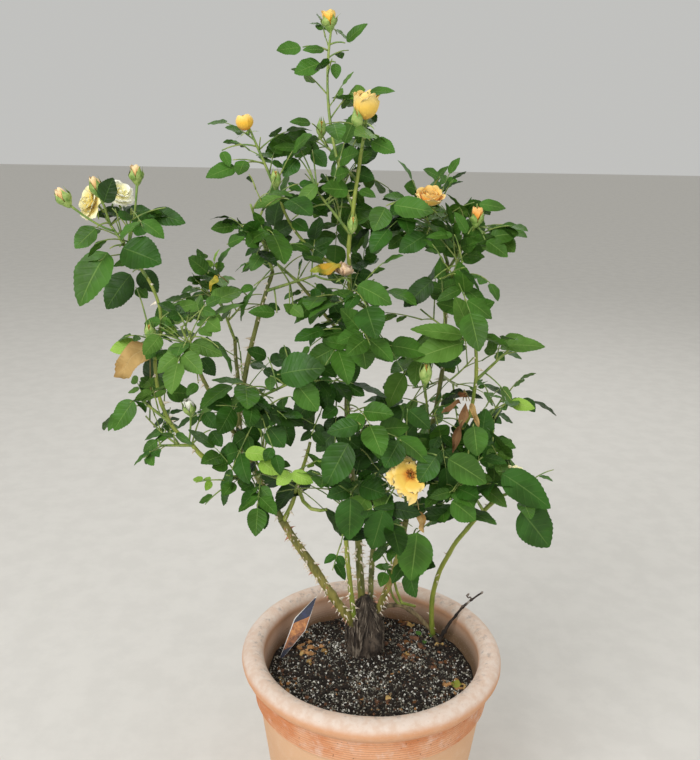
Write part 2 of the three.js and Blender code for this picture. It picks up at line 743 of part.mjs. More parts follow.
// A twig or leaf that would leave its mass's space, touch a neighbour or spoil the solid is skipped
for (const one of grown) {
  let solid = tapered(one.stem, twigFoot, twigTip, 3, 3);
  for (const limbSpace of clearances) solid = solid.subtract(limbSpace);
  solid = largestBody(solid);
  const join = (piece) => {
    const joined = solid.add(piece);
    if (!isSound(joined)) return false;
    solid = joined;
    return true;
  };
  one.flowers.forEach((f) => join(f.solid));
  for (const shoot of one.shoots) {
    if (shoot !== one.stem) join(tapered(shoot, stalkFoot, stalkTip, 3, 2));
  }
  const middle = pointOn(one.stem, 0.5);
  const isInside = (points) =>
    points.every((p) => p.z > lowestLeaf && p.distanceTo(middle) < spaceOfReach * one.reach);
  for (const [index, leaf] of one.leaves.entries()) {
    if (!one.shoots.includes(leaf.shoot)) continue;
    const owner = one.name + index;
    const [last, ...sides] = leaf.leaflets;
    const stalkPoints = pointsAlong(leaf.stalk);
    const lastPoints = leafletPoints(last);
    if (!hasRoom(stalkPoints, one.name) || !isInside(lastPoints) || !hasRoom(lastPoints)) continue;
    if (!join(stalkSolid(leaf.stalk.from, last))) continue;
    takeRoom([...stalkPoints.slice(2), ...lastPoints], owner);
    for (const leaflet of sides) {
      const points = leafletPoints(leaflet);
      if (leaflet.long < shortestLeaflet || !isInside(points) || !hasRoom(points, owner)) continue;
      if (join(leafletSolid(leaflet))) takeRoom(points, owner);
    }
  }
  show("leaves_" + one.name, solid, colours.leaf, 0.55);
}

export default group;
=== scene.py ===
import math

import bpy
import numpy as np
from mathutils import Matrix


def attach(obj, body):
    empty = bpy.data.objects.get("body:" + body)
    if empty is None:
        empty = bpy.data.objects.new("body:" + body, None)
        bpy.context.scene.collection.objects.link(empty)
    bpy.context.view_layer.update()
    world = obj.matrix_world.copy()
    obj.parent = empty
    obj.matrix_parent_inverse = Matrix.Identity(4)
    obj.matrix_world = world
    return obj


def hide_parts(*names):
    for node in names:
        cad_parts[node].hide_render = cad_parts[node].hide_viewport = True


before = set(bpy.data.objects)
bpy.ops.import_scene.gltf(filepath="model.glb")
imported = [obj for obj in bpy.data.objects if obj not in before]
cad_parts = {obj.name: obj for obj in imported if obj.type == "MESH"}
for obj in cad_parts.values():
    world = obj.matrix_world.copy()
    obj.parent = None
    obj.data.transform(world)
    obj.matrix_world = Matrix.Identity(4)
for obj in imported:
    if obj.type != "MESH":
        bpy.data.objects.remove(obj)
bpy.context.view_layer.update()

mm = 0.001
up = np.array([0.0, 0.0, 1.0])
goldenTurn = 2.39996
# a dealt turn goes all the way round, rounded as in the part's rule
fullTurn = 6.283


# Small helpers: vectors, dealt numbers, paths and meshes

def vec(*values):
    return np.array(values, float)


def unit(v):
    return v / max(1e-9, math.sqrt(v[0] * v[0] + v[1] * v[1] + v[2] * v[2]))


def length(v):
    return float(np.linalg.norm(v))


def cross(a, b):
    return vec(a[1] * b[2] - a[2] * b[1], a[2] * b[0] - a[0] * b[2], a[0] * b[1] - a[1] * b[0])


def squareTo(v, forward):
    return unit(v - forward * float(v @ forward))


def around(forward, angle, hint=(0.01, 0.02, 1)):
    # the way that points out from a shoot at this angle about it
    across = unit(cross(forward, vec(*hint)))
    return across * math.cos(angle) + cross(forward, across) * math.sin(angle)


def ringAngles(count):
    return np.arange(count) * 2 * math.pi / count


def dealer(seed):
    # the same numbers from 0 to 1 for the same seed, as in the part's own rule
    state = [seed * 7919 + 101]

    def deal():
        state[0] = state[0] * 48271 % 2147483647
        return state[0] / 2147483647
    return deal


def makePath(start, end, bow=(0, 0, 0)):
    return {"from": vec(*start), "to": vec(*end), "bow": vec(*bow)}


def pointOn(path, t):
    return path["from"] + (path["to"] - path["from"]) * t + path["bow"] * 4 * t * (1 - t)


def pointsOn(path, count, first=0, last=1):
    return [pointOn(path, t) for t in np.linspace(first, last, count)]


def headingOn(path, t):
    return unit(path["to"] - path["from"] + path["bow"] * 4 * (1 - 2 * t))


class Bunch:
    # gathers many small parts, in millimetres, before they become one mesh
    def __init__(self):
        self.points, self.quads, self.tris, self.uvs, self.count = [], [], [], [], 0

    def add(self, points, quads=None, tris=None, uvs=None):
        if quads is not None and len(quads):
            self.quads.append(np.asarray(quads, int) + self.count)
        if tris is not None and len(tris):
            self.tris.append(np.asarray(tris, int) + self.count)
        self.points.append(np.asarray(points, float))
        self.uvs.append(np.zeros((len(points), 2)) if uvs is None else uvs)
        self.count += len(points)


def gridQuads(rows, columns, wrap=False):
    r, c = np.meshgrid(np.arange(rows - 1), np.arange(columns if wrap else columns - 1), indexing="ij")
    n = (c + 1) % columns
    return np.stack([r * columns + c, r * columns + n, (r + 1) * columns + n, (r + 1) * columns + c],
                    -1).reshape(-1, 4)


def addObject(name, data):
    thing = bpy.data.objects.new(name, data)
    bpy.context.collection.objects.link(thing)
    return thing


def makePiece(name, bunch, material, nodes=(), smooth=True):
    mesh = bpy.data.meshes.new(name)
    points = np.concatenate(bunch.points) * mm
    quads = np.concatenate(bunch.quads) if bunch.quads else np.zeros((0, 4), int)
    tris = np.concatenate(bunch.tris) if bunch.tris else np.zeros((0, 3), int)
    corners = np.concatenate([quads.ravel(), tris.ravel()])
    starts = np.concatenate([np.arange(len(quads)) * 4, len(quads) * 4 + np.arange(len(tris)) * 3])
    mesh.vertices.add(len(points))
    mesh.vertices.foreach_set("co", points.ravel())
    mesh.loops.add(len(corners))
    mesh.loops.foreach_set("vertex_index", corners)
    mesh.polygons.add(len(starts))
    mesh.polygons.foreach_set("loop_start", starts)
    mesh.update(calc_edges=True)
    layer = mesh.uv_layers.new(name="OFBake")
    layer.data.foreach_set("uv", np.concatenate(bunch.uvs)[corners].ravel())
    mesh.validate()
    mesh.polygons.foreach_set("use_smooth", np.full(len(mesh.polygons), smooth))
    piece = addObject(name, mesh)
    mesh.materials.append(material)
    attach(piece, "root")
    if nodes:
        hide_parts(*nodes)
    return piece


def waves(points, size, seed, octaves=3):
    # smooth repeatable unevenness from -1 to 1: sums of slanting sine waves about one size long
    deal = dealer(seed)
    total = np.zeros(len(points))
    share = 1.0
    weight = 0.0
    for _ in range(octaves):
        for _ in range(4):
            way = unit(vec(deal() - 0.5, deal() - 0.5, deal() - 0.5))
            step = 2 * math.pi / (size * share * (0.75 + 0.6 * deal()))
            total += share * np.sin(points @ way * step + fullTurn * deal()) / 2
        weight += share
        share *= 0.5
    return total / weight


def tube(bunch, points, radii, sides, closeEnds=True, lumps=None):
    # a limb with a ring of points at each place, carried along without twisting
    points = np.asarray(points, float)
    ahead = np.gradient(points, axis=0)
    side = unit(cross(ahead[0], vec(0.3, 1, 0.2)))
    rings = []
    angles = ringAngles(sides)
    for i, centre in enumerate(points):
        forward = unit(ahead[i])
        side = squareTo(side, forward)
        other = cross(forward, side)
        out = np.cos(angles)[:, None] * side + np.sin(angles)[:, None] * other
        radius = radii[i] * (1 if lumps is None else lumps[i])
        rings.append(centre + out * np.reshape(radius, (-1, 1)))
    rings = np.array(rings)
    count = len(points)
    along = np.concatenate([[0], np.cumsum(np.linalg.norm(np.diff(points, axis=0), axis=1))])
    uvs = np.stack([np.tile(np.arange(sides) / sides, count), np.repeat(along / 100, sides)], -1)
    verts = rings.reshape(-1, 3)
    tris = []
    if closeEnds:
        verts = np.concatenate([verts, [points[0], points[-1]]])
        uvs = np.concatenate([uvs, [[0, 0], [0, 1]]])
        last = (count - 1) * sides
        for i in range(sides):
            following = (i + 1) % sides
            tris += [[count * sides, following, i], [count * sides + 1, last + i, last + following]]
    bunch.add(verts, gridQuads(count, sides, wrap=True), tris, uvs)


# Materials

def toLinear(hexColour):
    parts = [int(hexColour[i:i + 2], 16) / 255 for i in (1, 3, 5)]
    return [p / 12.92 if p <= 0.04045 else ((p + 0.055) / 1.055) ** 2.4 for p in parts] + [1.0]


def addNode(tree, kind, settings):
    # each setting is an option of the node, the value of an input, or an output to link to that input;
    # it gives back the node's first live output, whose .node is the node itself
    node = tree.nodes.new("ShaderNode" + kind)
    for key, value in settings.items():
        if isinstance(value, bpy.types.NodeSocket):
            tree.links.new(value, node.inputs[key])
        elif isinstance(key, int) or key in node.inputs:
            node.inputs[key].default_value = toLinear(value) if isinstance(value, str) else value
        else:
            setattr(node, key, value)
    return next((output for output in node.outputs if output.enabled), None)


def newMaterial(name, settings):
    material = bpy.data.materials.new(name)
    material.use_nodes = True
    tree = material.node_tree
    tree.nodes.clear()
    shader = addNode(tree, "BsdfPrincipled", settings)
    addNode(tree, "OutputMaterial", {"Surface": shader})
    return material, tree, shader.node, addNode(tree, "TexCoord", {}).node.outputs["Object"]


def pattern(tree, place, sizeMm, detail=4, roughness=0.55, stretch=(1, 1, 1)):
    # unevenness that repeats about once in sizeMm, drawn out along an axis whose stretch is below 1;
    # object space is in metres
    mapped = addNode(tree, "Mapping", {"Scale": stretch, "Vector": place})
    return addNode(tree, "TexNoise", {"Scale": 1000 / sizeMm, "Detail": detail, "Roughness": roughness,
                                      "Vector": mapped})


def product(tree, *steps):
    # the steps multiplied; a step (value, low, high) rises smoothly from 0 at low to 1 at high, and two
    # more numbers in it take the place of 0 and 1
    total = None
    for step in steps:
        if isinstance(step, tuple):
            step = addNode(tree, "MapRange", {"interpolation_type": "SMOOTHSTEP", **dict(enumerate(step))})
        total = step if total is None else addNode(tree, "Math", {"operation": "MULTIPLY", 0: total, 1: step})
    return total


def paint(tree, under, over, *steps):
    # one colour or pattern of colour laid over another, by the product of the steps
    return addNode(tree, "Mix", {"data_type": "RGBA", 0: product(tree, *steps), 6: under, 7: over})


def finishMaterial(tree, shader, colour, roughness, relief, depthMm, strength=1.0):
    tree.links.new(colour, shader.inputs["Base Color"])
    if roughness:
        tree.links.new(product(tree, roughness), shader.inputs["Roughness"])
    raised = addNode(tree, "Bump", {"Distance": depthMm * mm, "Strength": strength, "Height": relief})
    tree.links.new(raised, shader.inputs["Normal"])


potLook = {"sides": 288, "combPitch": 3.3, "combDepth": 0.42, "unevenness": 0.35, "grain": 0.08,
           "rimMiddle": 152.2, "rimHalfWidth": 14.1, "rimHeight": 290.7, "rimHalfHeight": 13.3,
           # the rim's roll: where it begins and how far it sweeps, in radians, and how far it waves
           "rimBegin": -0.78, "rimSweep": math.pi + 1.12, "rimWave": 0.5,
           "bandTop": (152.5, 272), "bandFoot": (149.8, 240), "bodyTop": (145.5, 237),
           "bodyMiddle": (131, 130), "foot": 115, "footBevel": 3,
           "inner": [(137.2, 272), (134.3, 256), (119, 140), (100, 16)]}


def terracottaMaterial():
    # Fired terracotta, thrown and combed below the rim: chalky, warm orange, with a pale lime bloom
    # on the rim, damp brown stains inside, painted shade on the inside's right, small dark pits in the
    # combed band and painted shade in its grooves
    # the stain colour also paints shade on the inside's right
    look = {"clay": "#cc8353", "paleClay": "#dca27a", "bloom": "#e6d6c9", "pinkBloom": "#dcc3b0",
            # the pit colour also paints shade along the comb's grooves
            "body": "#dfb791", "underRim": "#d8a57e", "stainAndShade": "#6f563c", "pitAndGrooveShade": "#6d4630",
            "smear": "#847a7a", "cloudMm": 60, "grainMm": 2.2, "pitEveryMm": 7.0,
            # from where to where each tone sets in: heights above the ground, or radii, in millimetres
            "bodyBelow": (241, 238), "underRimAbove": (274, 279), "chalkAbove": (290, 299),
            "insideWithin": (141, 136), "insideBelow": (296, 280), "insideAbove": (215, 245),
            "wetBelow": (286, 258), "smearWithin": (156, 150), "smearBeyond": (138, 143),
            "smearAbove": (296, 301), "bandAbove": (238, 241), "bandBelow": (274, 271)}
    material, tree, shader, place = newMaterial("terracotta", {"IOR": 1.5})
    xyz = addNode(tree, "SeparateXYZ", {"Vector": place}).node.outputs
    height = product(tree, xyz["Z"], 1000.0)
    flat = addNode(tree, "CombineXYZ", {"X": xyz["X"], "Y": xyz["Y"]})
    out = product(tree, addNode(tree, "VectorMath", {"operation": "LENGTH", 0: flat}), 1000.0)
    cloud = pattern(tree, place, look["cloudMm"], 5, 0.6)
    grain = pattern(tree, place, look["grainMm"], 4, 0.7)
    # the edges of the stains wander up and down with the clouds
    offMiddle = addNode(tree, "Math", {"operation": "SUBTRACT", 0: cloud, 1: 0.5})
    wander = addNode(tree, "Math", {"operation": "ADD", 0: height, 1: product(tree, offMiddle, 4.0)})
    body = paint(tree, look["clay"], look["paleClay"], (cloud, 0.38, 0.62))
    body = paint(tree, body, look["bloom"], (pattern(tree, place, 18, 4, 0.6), 0.5, 0.8, 0, 0.5))
    body = paint(tree, body, look["body"], (height, *look["bodyBelow"]), 0.8)
    body = paint(tree, body, look["underRim"], (height, *look["underRimAbove"]), 0.75)
    chalk = paint(tree, look["pinkBloom"], look["bloom"], (pattern(tree, place, 11, 5, 0.65), 0.35, 0.68))
    body = paint(tree, body, chalk, (wander, *look["chalkAbove"]), 0.92)
    # the outer wall is as narrow as the inside further down, so only the height above the soil counts
    inside = product(tree, (out, *look["insideWithin"]), (height, *look["insideBelow"]),
                     (height, *look["insideAbove"]))
    wet = paint(tree, look["pinkBloom"], look["stainAndShade"], (wander, *look["wetBelow"]))
    body = paint(tree, body, wet, inside, 0.9)
    # on its right the inside is painted browner down to the soil: painted shade, since that wall lies in
    # shadow
    body = paint(tree, body, look["stainAndShade"], inside, (xyz["X"], 0.03, 0.1), (height, 298, 260, 0.3, 0.95))
    # grey smears on top of the rim
    body = paint(tree, body, look["smear"], (pattern(tree, place, 9, 5, 0.7), 0.5, 0.68),
                 (out, *look["smearWithin"]), (out, *look["smearBeyond"]), (height, *look["smearAbove"]), 0.5)
    spots = addNode(tree, "TexVoronoi", {"Scale": 1000 / look["pitEveryMm"], "Vector": place})
    pits = product(tree, (spots, 0.13, 0.07))
    band = product(tree, (height, *look["bandAbove"]), (height, *look["bandBelow"]))
    body = paint(tree, body, look["pitAndGrooveShade"], pits, (band, 0, 1, 0.12, 0.75))
    # the comb's grooves wobble a little round the pot, and darker lines are painted along them as painted
    # shade
    wobble = product(tree, pattern(tree, place, 30, 2, 0.5, (1, 1, 3)), 5.0)
    phase = addNode(tree, "Math", {"operation": "ADD", 1: wobble,
                                   0: product(tree, height, 2 * math.pi / potLook["combPitch"])})
    combed = addNode(tree, "Math", {"operation": "SINE", 0: phase})
    body = paint(tree, body, look["pitAndGrooveShade"], (combed, -0.35, -0.95), band, (cloud, 0.3, 0.6, 0.05, 0.3))
    body = paint(tree, body, look["bloom"], (grain, 0.52, 0.72, 0, 0.22))
    relief = addNode(tree, "Math", {"operation": "SUBTRACT", 0: grain, 1: product(tree, pits, 0.8)})
    finishMaterial(tree, shader, body, (grain, 0.3, 0.7, 0.78, 0.95), relief, 0.35, 0.7)
    return material


def mottled(name, dark, light, sizeMm, roughness, depthMm=0.2, stretch=(1, 1, 1), speck=None):
    # one two-toned matt or satin surface: the tones drift over sizeMm and a finer grain roughens it
    material, tree, shader, place = newMaterial(name, {})
    cloud = pattern(tree, place, sizeMm, 5, 0.6, stretch)
    fine = pattern(tree, place, sizeMm / 7, 3, 0.6, stretch)
    colour = paint(tree, dark, light, (cloud, 0.36, 0.64))
    colour = paint(tree, colour, speck or light, (fine, 0.55, 0.75, 0, 0.45))
    finishMaterial(tree, shader, colour, (fine, 0.3, 0.7, roughness - 0.08, roughness + 0.08), fine, depthMm)
    return material


def leafMaterial(name, blade, rib, pale, gloss):
    # A living rose leaf: waxy cuticle over a quilted blade, darker between the veins, with a pale midrib.
    # u runs across the leaflet and v along it, so the veins follow every leaf
    veinCount = 7
    material, tree, shader, place = newMaterial(name, {"IOR": 1.42, "Specular IOR Level": 0.3})
    uv = addNode(tree, "SeparateXYZ", {"Vector": addNode(tree, "UVMap", {"uv_map": "OFBake"})}).node.outputs
    across = uv["X"]
    for operation, value in (("MULTIPLY", 2.0), ("SUBTRACT", 1.0), ("ABSOLUTE", 0.0)):
        across = addNode(tree, "Math", {"operation": operation, 0: across, 1: value})
    fromVein = addNode(tree, "Math", {"operation": "SUBTRACT", 0: uv["Y"], 1: product(tree, across, 0.2)})
    for operation, value in (("MULTIPLY", veinCount), ("FRACT", 0.0), ("SUBTRACT", 0.5), ("ABSOLUTE", 0.0)):
        fromVein = addNode(tree, "Math", {"operation": operation, 0: fromVein, 1: value})
    midrib = product(tree, (across, 0.06, 0.015))
    fine = pattern(tree, place, 3.0, 3, 0.6)
    colour = paint(tree, blade, pale, (pattern(tree, place, 34, 3, 0.5), 0.36, 0.64))
    colour = paint(tree, colour, pale, (fine, 0.5, 0.78, 0, 0.3))
    colour = paint(tree, colour, rib, (fromVein, 0.43, 0.5), (across, 0.95, 0.5), 0.14)
    colour = paint(tree, colour, rib, midrib, 0.4)
    quilted = product(tree, (fromVein, 0.5, 0.2))
    quilt = addNode(tree, "Math", {"operation": "SUBTRACT", 0: quilted, 1: midrib})
    finishMaterial(tree, shader, colour, (fine, 0.3, 0.7, gloss, gloss + 0.14), quilt, 0.35, 0.55)
    return material


def petalMaterial(name, base, edge, heart):
    # A rose petal: soft, velvety and thin, paler at its rim and warmer at its foot, with fine veins along it
    material, tree, shader, _ = newMaterial(name, {"Roughness": 0.62, "Specular IOR Level": 0.25,
                                                   "Sheen Weight": 0.25})
    uv = addNode(tree, "UVMap", {"uv_map": "OFBake"})
    along = addNode(tree, "SeparateXYZ", {"Vector": uv}).node.outputs["Y"]
    # the veins: 38 across a petal and 3 along it, in the petal's own coordinates instead of metres
    veins = pattern(tree, uv, 1000, 3, 0.5, (38, 3, 1))
    colour = paint(tree, base, edge, (along, 0.55, 1.0))
    colour = paint(tree, colour, heart, (along, 0.45, 0.05))
    colour = paint(tree, colour, heart, (veins, 0.5, 0.75, 0, 0.18))
    finishMaterial(tree, shader, colour, None, veins, 0.15, 0.6)
    return material


# Camera, floor and light

cameraLook = {"place": (-0.0386, -0.9636, 0.945), "pitch": 16.66, "roll": -1.0, "yaw": -0.3,
              "lens": 40.48, "sensor": 36}
stageLook = {"floor": ("#d6d3cd", "#dbd8d2"), "world": "#efefec", "worldStrength": 0.62,
             "aim": (0, 0, 0.6),
             "lamps": {"key": {"place": (-1.5, -2.3, 2.5), "size": 1.8, "watts": 70},
                       "fill": {"place": (1.3, -2.4, 1.3), "size": 2.2, "watts": 16},
                       "back": {"place": (0.4, 2.0, 2.6), "size": 2.0, "watts": 24}}}


def turnTo(thing, side, upward, backward, place):
    # a camera or a lamp looks the other way from its backward axis
    matrix = np.identity(4)
    matrix[:3] = np.stack([side, upward, backward, place], -1)
    thing.matrix_world = Matrix(matrix.tolist())


def setCamera():
    pitch, roll, yaw = (math.radians(cameraLook[key]) for key in ("pitch", "roll", "yaw"))
    level = np.array([[math.cos(yaw), math.sin(yaw), 0], [-math.sin(yaw), math.cos(yaw), 0], [0, 0, 1]])
    tip = np.array([[1, 0, 0], [0, -math.sin(pitch), -math.cos(pitch)],
                    [0, math.cos(pitch), -math.sin(pitch)]])
    lean = np.array([[math.cos(roll), math.sin(roll), 0], [-math.sin(roll), math.cos(roll), 0], [0, 0, 1]])
    right, down, forward = lean @ tip @ level
    camera = addObject("camera", bpy.data.cameras.new("camera"))
    camera.data.lens = cameraLook["lens"]
    camera.data.sensor_width = cameraLook["sensor"]
    turnTo(camera, right, -down, -forward, cameraLook["place"])
    bpy.context.scene.camera = camera


def setStage():
    bpy.ops.mesh.primitive_plane_add(size=36, location=(0, 0, 0))
    floor = bpy.context.object
    floor.name = "floor"
    # Trowelled plaster: flat and matt, almost one tone
    floor.data.materials.append(mottled("pale plaster floor", *stageLook["floor"], 60, 0.85, 0.05))
    world = bpy.data.worlds.new("studio")
    bpy.context.scene.world = world
    world.use_nodes = True
    background = world.node_tree.nodes["Background"].inputs
    background["Color"].default_value = toLinear(stageLook["world"])
    background["Strength"].default_value = stageLook["worldStrength"]
    for name, lamp in stageLook["lamps"].items():
        light = addObject(name, bpy.data.lights.new(name, "AREA"))
        light.data.size = lamp["size"]
        light.data.energy = lamp["watts"]
        backward = unit(vec(*lamp["place"]) - vec(*stageLook["aim"]))
        side = unit(cross(up, backward))
        turnTo(light, side, cross(backward, side), backward, lamp["place"])


bpy.context.scene.view_settings.view_transform = "Standard"
setCamera()
setStage()
print("camera, floor and light are set")


# The pot, turned on its axis

def straight(start, end, stepMm):
    count = max(1, math.ceil(math.dist(start, end) / stepMm))
    return [(start[0] + (end[0] - start[0]) * i / count, start[1] + (end[1] - start[1]) * i / count)
            for i in range(count)]


def potProfile(look):
    # radius and height, from the middle of the foot up the outside and down the inside
    bevel = look["footBevel"]
    profile = [(0.01, 0), *straight((20, 0), (look["foot"] - bevel, 0), 30)]
    for i in range(5):
        turn = math.pi / 2 * i / 4
        profile.append((look["foot"] - bevel * (1 - math.sin(turn)), bevel * (1 - math.cos(turn))))
    profile += straight((look["foot"], bevel), look["bodyMiddle"], 6)
    profile += straight(look["bodyMiddle"], look["bodyTop"], 6)
    profile += straight(look["bodyTop"], look["bandFoot"], 1.2)
    for radius, height in straight(look["bandFoot"], look["bandTop"], look["combPitch"] / 8):
        groove = look["combDepth"] * math.sin(2 * math.pi * height / look["combPitch"] + 2.6)
        profile.append((radius + groove * (0.6 + 0.4 * math.sin(height * 0.9)), height))
    for i in range(49):
        angle = look["rimBegin"] + look["rimSweep"] * i / 48
        profile.append((look["rimMiddle"] + look["rimHalfWidth"] * math.cos(angle),
                        look["rimHeight"] + look["rimHalfHeight"] * math.sin(angle)))
    inner = look["inner"]
    for start, end, step in zip(inner, inner[1:], (4, 12, 12)):
        profile += straight(start, end, step)
    return np.array(profile + [inner[-1], (0.01, inner[-1][1])], float)


def makePot():
    look = potLook
    profile = potProfile(look)
    sides = look["sides"]
    radius = np.repeat(profile[:, 0], sides)
    height = np.repeat(profile[:, 1], sides)
    turn = np.tile(ringAngles(sides), len(profile))
    points = np.stack([radius * np.cos(turn), radius * np.sin(turn), height], -1)
    uneven = waves(points, 70, 5) * look["unevenness"] + waves(points, 9, 6, 2) * look["grain"]
    # the underside stays flat, and only the rim's top waves up and down
    stands = np.clip(height / 8, 0, 1)
    points[:, 0] += uneven * stands * np.cos(turn)
    points[:, 1] += uneven * stands * np.sin(turn)
    rimTop = np.clip((height - 285) / 15, 0, 1)
    points[:, 2] += rimTop * waves(points, 120, 8, 2) * look["rimWave"]
    bunch = Bunch()
    bunch.add(points, gridQuads(len(profile), sides, wrap=True))
    makePiece("clay_pot", bunch, terracottaMaterial(), ["pot"])


makePot()
print("pot made")


# The potting mix, with perlite, bark chips and dead leaf bits

knuckleCentre = (-8, 42)
soilLook = {
    # the solid's edge, and how far the loose grains lift the surface above it
    "radius": 133.6, "bottom": 16.3, "bottomRadius": 99.5, "edge": 256, "lift": 0.6,
    "rise": 3.6, "lump": 1.5, "heap": 7, "knuckleRoom": 24, "lastBit": 133,
    # kinds of bits: name, number, least and greatest half size, flatness, corners, how far they sink, how
    # patchily they lie, and their material
    "bits": [
        # Peat crumbs and composted bark: dull and almost black, the bark a little redder
        ("peat_crumbs", 3000, (1.2, 4.2), 0.55, 12, 0.2, 0, ("peat crumbs", "#17120e", "#2e241b", 4, 0.95)),
        ("bark_fines", 1000, (1.0, 4.0), 0.4, 12, 0.2, 0, ("composted bark", "#35241a", "#57402c", 4, 0.9)),
        # Perlite: puffed volcanic glass, chalk white when dry and grey when it is dusty or wet
        ("perlite_white", 5000, (0.5, 2.0), 0.75, 6, -0.2, 0.9,
         ("dry perlite", "#d2cfc4", "#f4f2ea", 1.6, 0.85, 0.1)),
        ("perlite_grey", 10000, (0.6, 2.0), 0.7, 6, -0.1, 0.7,
         ("dusty perlite", "#6f6c5f", "#a19d8d", 1.6, 0.85, 0.1)),
        # Pine bark chips: broken and corky, red-brown; dead leaf bits: dry, papery and tan
        ("bark_chips", 150, (1.5, 5.0), 0.3, 12, 0.0, 0,
         ("pine bark chips", "#4d301d", "#80563a", 5, 0.85, 0.3, (1, 1, 1), "#33211a")),
        ("dead_bits", 75, (1.5, 4.5), 0.22, 12, 0.0, 0,
         ("dead leaf bits", "#8a6036", "#b98a55", 5, 0.8, 0.3)),
    ],
    # piles of larger bits: place, number, spread and size
    "piles": [(-88, 45, 9, 10, 7), (57, 44, 12, 14, 8), (-110, -28, 8, 9, 6), (52, 109, 3, 3, 8),
              (108, -31, 7, 9, 6), (22, -68, 3, 5, 6), (-60, 60, 6, 10, 5), (84, 20, 7, 12, 6)]}


def fromKnuckle(x, y):
    return np.hypot(x - knuckleCentre[0], y - knuckleCentre[1])


def soilHeight(x, y):
    out = np.hypot(x, y)
    flat = np.stack([x, y, x * 0], -1)
    # the mix lies heaped against the knuckle's foot
    heap = soilLook["heap"] * np.exp(-(np.clip(fromKnuckle(x, y) - 21, 0, 99) / 10) ** 2)
    return (heap + soilLook["edge"] + soilLook["lift"] + soilLook["rise"] * (1 - (out / 134) ** 2)
            + soilLook["lump"] * waves(flat, 34, 31, 2) + 0.8 * waves(flat, 7, 32, 2))


def soilAt(x, y):
    return float(soilHeight(vec(x), vec(y))[0])


def chipShape(corners):
    # an eight-sided or twenty-sided stone as unit points and faces
    if corners == 6:
        points = vec(1, 0, 0, -1, 0, 0, 0, 1, 0, 0, -1, 0, 0, 0, 1, 0, 0, -1).reshape(6, 3)
        faces = [[0, 2, 4], [2, 1, 4], [1, 3, 4], [3, 0, 4], [2, 0, 5], [1, 2, 5], [3, 1, 5], [0, 3, 5]]
        return points, np.array(faces)
    g = (1 + math.sqrt(5)) / 2
    points = np.array([[-1, g, 0], [1, g, 0], [-1, -g, 0], [1, -g, 0], [0, -1, g], [0, 1, g], [0, -1, -g],
                       [0, 1, -g], [g, 0, -1], [g, 0, 1], [-g, 0, -1], [-g, 0, 1]]) / math.hypot(1, g)
    faces = [[0, 11, 5], [0, 5, 1], [0, 1, 7], [0, 7, 10], [0, 10, 11], [1, 5, 9], [5, 11, 4],
             [11, 10, 2], [10, 7, 6], [7, 1, 8], [3, 9, 4], [3, 4, 2], [3, 2, 6], [3, 6, 8],
             [3, 8, 9], [4, 9, 5], [2, 4, 11], [6, 2, 10], [8, 6, 7], [9, 8, 1]]
    return points, np.array(faces)


def scatter(bunch, count, sizes, flatness, corners, seed, sink, thin=0.0, pile=None):
    # stones over the whole mix, or about a pile's place by its spread
    rng = np.random.default_rng(seed)
    shape, faces = chipShape(corners)
    for _ in range(count):
        out = soilLook["radius"] * 0.985 * math.sqrt(rng.random())
        turn = rng.random() * 2 * math.pi
        x, y = out * math.cos(turn), out * math.sin(turn)
        if pile:
            x, y = pile[0] + rng.normal() * pile[2], pile[1] + rng.normal() * pile[2]
            out = math.hypot(x, y)
        size = sizes[0] + (sizes[1] - sizes[0]) * rng.random() ** 2.2
        if rng.random() < thin * (0.5 + 0.5 * math.sin(x / 17 + 1.5) * math.sin(y / 21 - 0.5)):
            continue
        if out + size > soilLook["lastBit"] or fromKnuckle(x, y) < soilLook["knuckleRoom"]:
            continue
        body = shape * (size * rng.uniform([0.7, 0.45, flatness], [1.15, 0.9, flatness * 1.5]))
        body = body * (1 + rng.uniform(-0.22, 0.22, (len(shape), 1)))
        a, b = rng.random() * fullTurn, rng.normal(0, 0.35)
        turnZ = np.array([[math.cos(a), -math.sin(a), 0], [math.sin(a), math.cos(a), 0], [0, 0, 1]])
        tiltX = np.array([[1, 0, 0], [0, math.cos(b), -math.sin(b)], [0, math.sin(b), math.cos(b)]])
        body = body @ (turnZ @ tiltX).T
        bunch.add(body + vec(x, y, soilAt(x, y) + size * flatness * (0.9 - sink)), tris=faces)


def makeSoil():
    look = soilLook
    sides, rings = 220, 60
    bunch = Bunch()
    outs = look["radius"] * (np.arange(1, rings + 1) / rings)
    turn = np.tile(ringAngles(sides), rings)
    out = np.repeat(outs, sides)
    x, y = out * np.cos(turn), out * np.sin(turn)
    top = np.stack([x, y, soilHeight(x, y)], -1)
    low = top[-sides:].copy()
    low[:, :2] *= look["bottomRadius"] / look["radius"]
    low[:, 2] = look["bottom"]
    points = np.concatenate([top, low, [[0, 0, soilAt(0, 0)], [0, 0, look["bottom"]]]])
    tris = []
    for i in range(sides):
        following = (i + 1) % sides
        tris += [[(rings + 1) * sides, i, following],
                 [(rings + 1) * sides + 1, rings * sides + following, rings * sides + i]]
    bunch.add(points, gridQuads(rings + 1, sides, wrap=True)[:, ::-1], np.array(tris))
    # Moist peat and fine bark: almost black, dull, with brown fibres
    peat = mottled("moist potting mix", "#15110e", "#2b2119", 9, 0.92, 0.6, speck="#41301f")
    makePiece("potting_mix", bunch, peat, ["soil"])
    bits = {kind[0]: Bunch() for kind in look["bits"]}
    for number, (name, count, sizes, flatness, corners, sink, thin, _) in enumerate(look["bits"]):
        scatter(bits[name], count, sizes, flatness, corners, 41 + number, sink, thin)
    for number, (x, y, count, wide, size) in enumerate(look["piles"]):
        kind = "bark_chips" if number % 2 else "dead_bits"
        scatter(bits[kind], count, (size * 0.5, size), 0.3, 12, 60 + number, -0.4, pile=(x, y, wide))
    for name, *_, material in look["bits"]:
        makePiece(name, bits[name], mottled(*material), smooth=False)


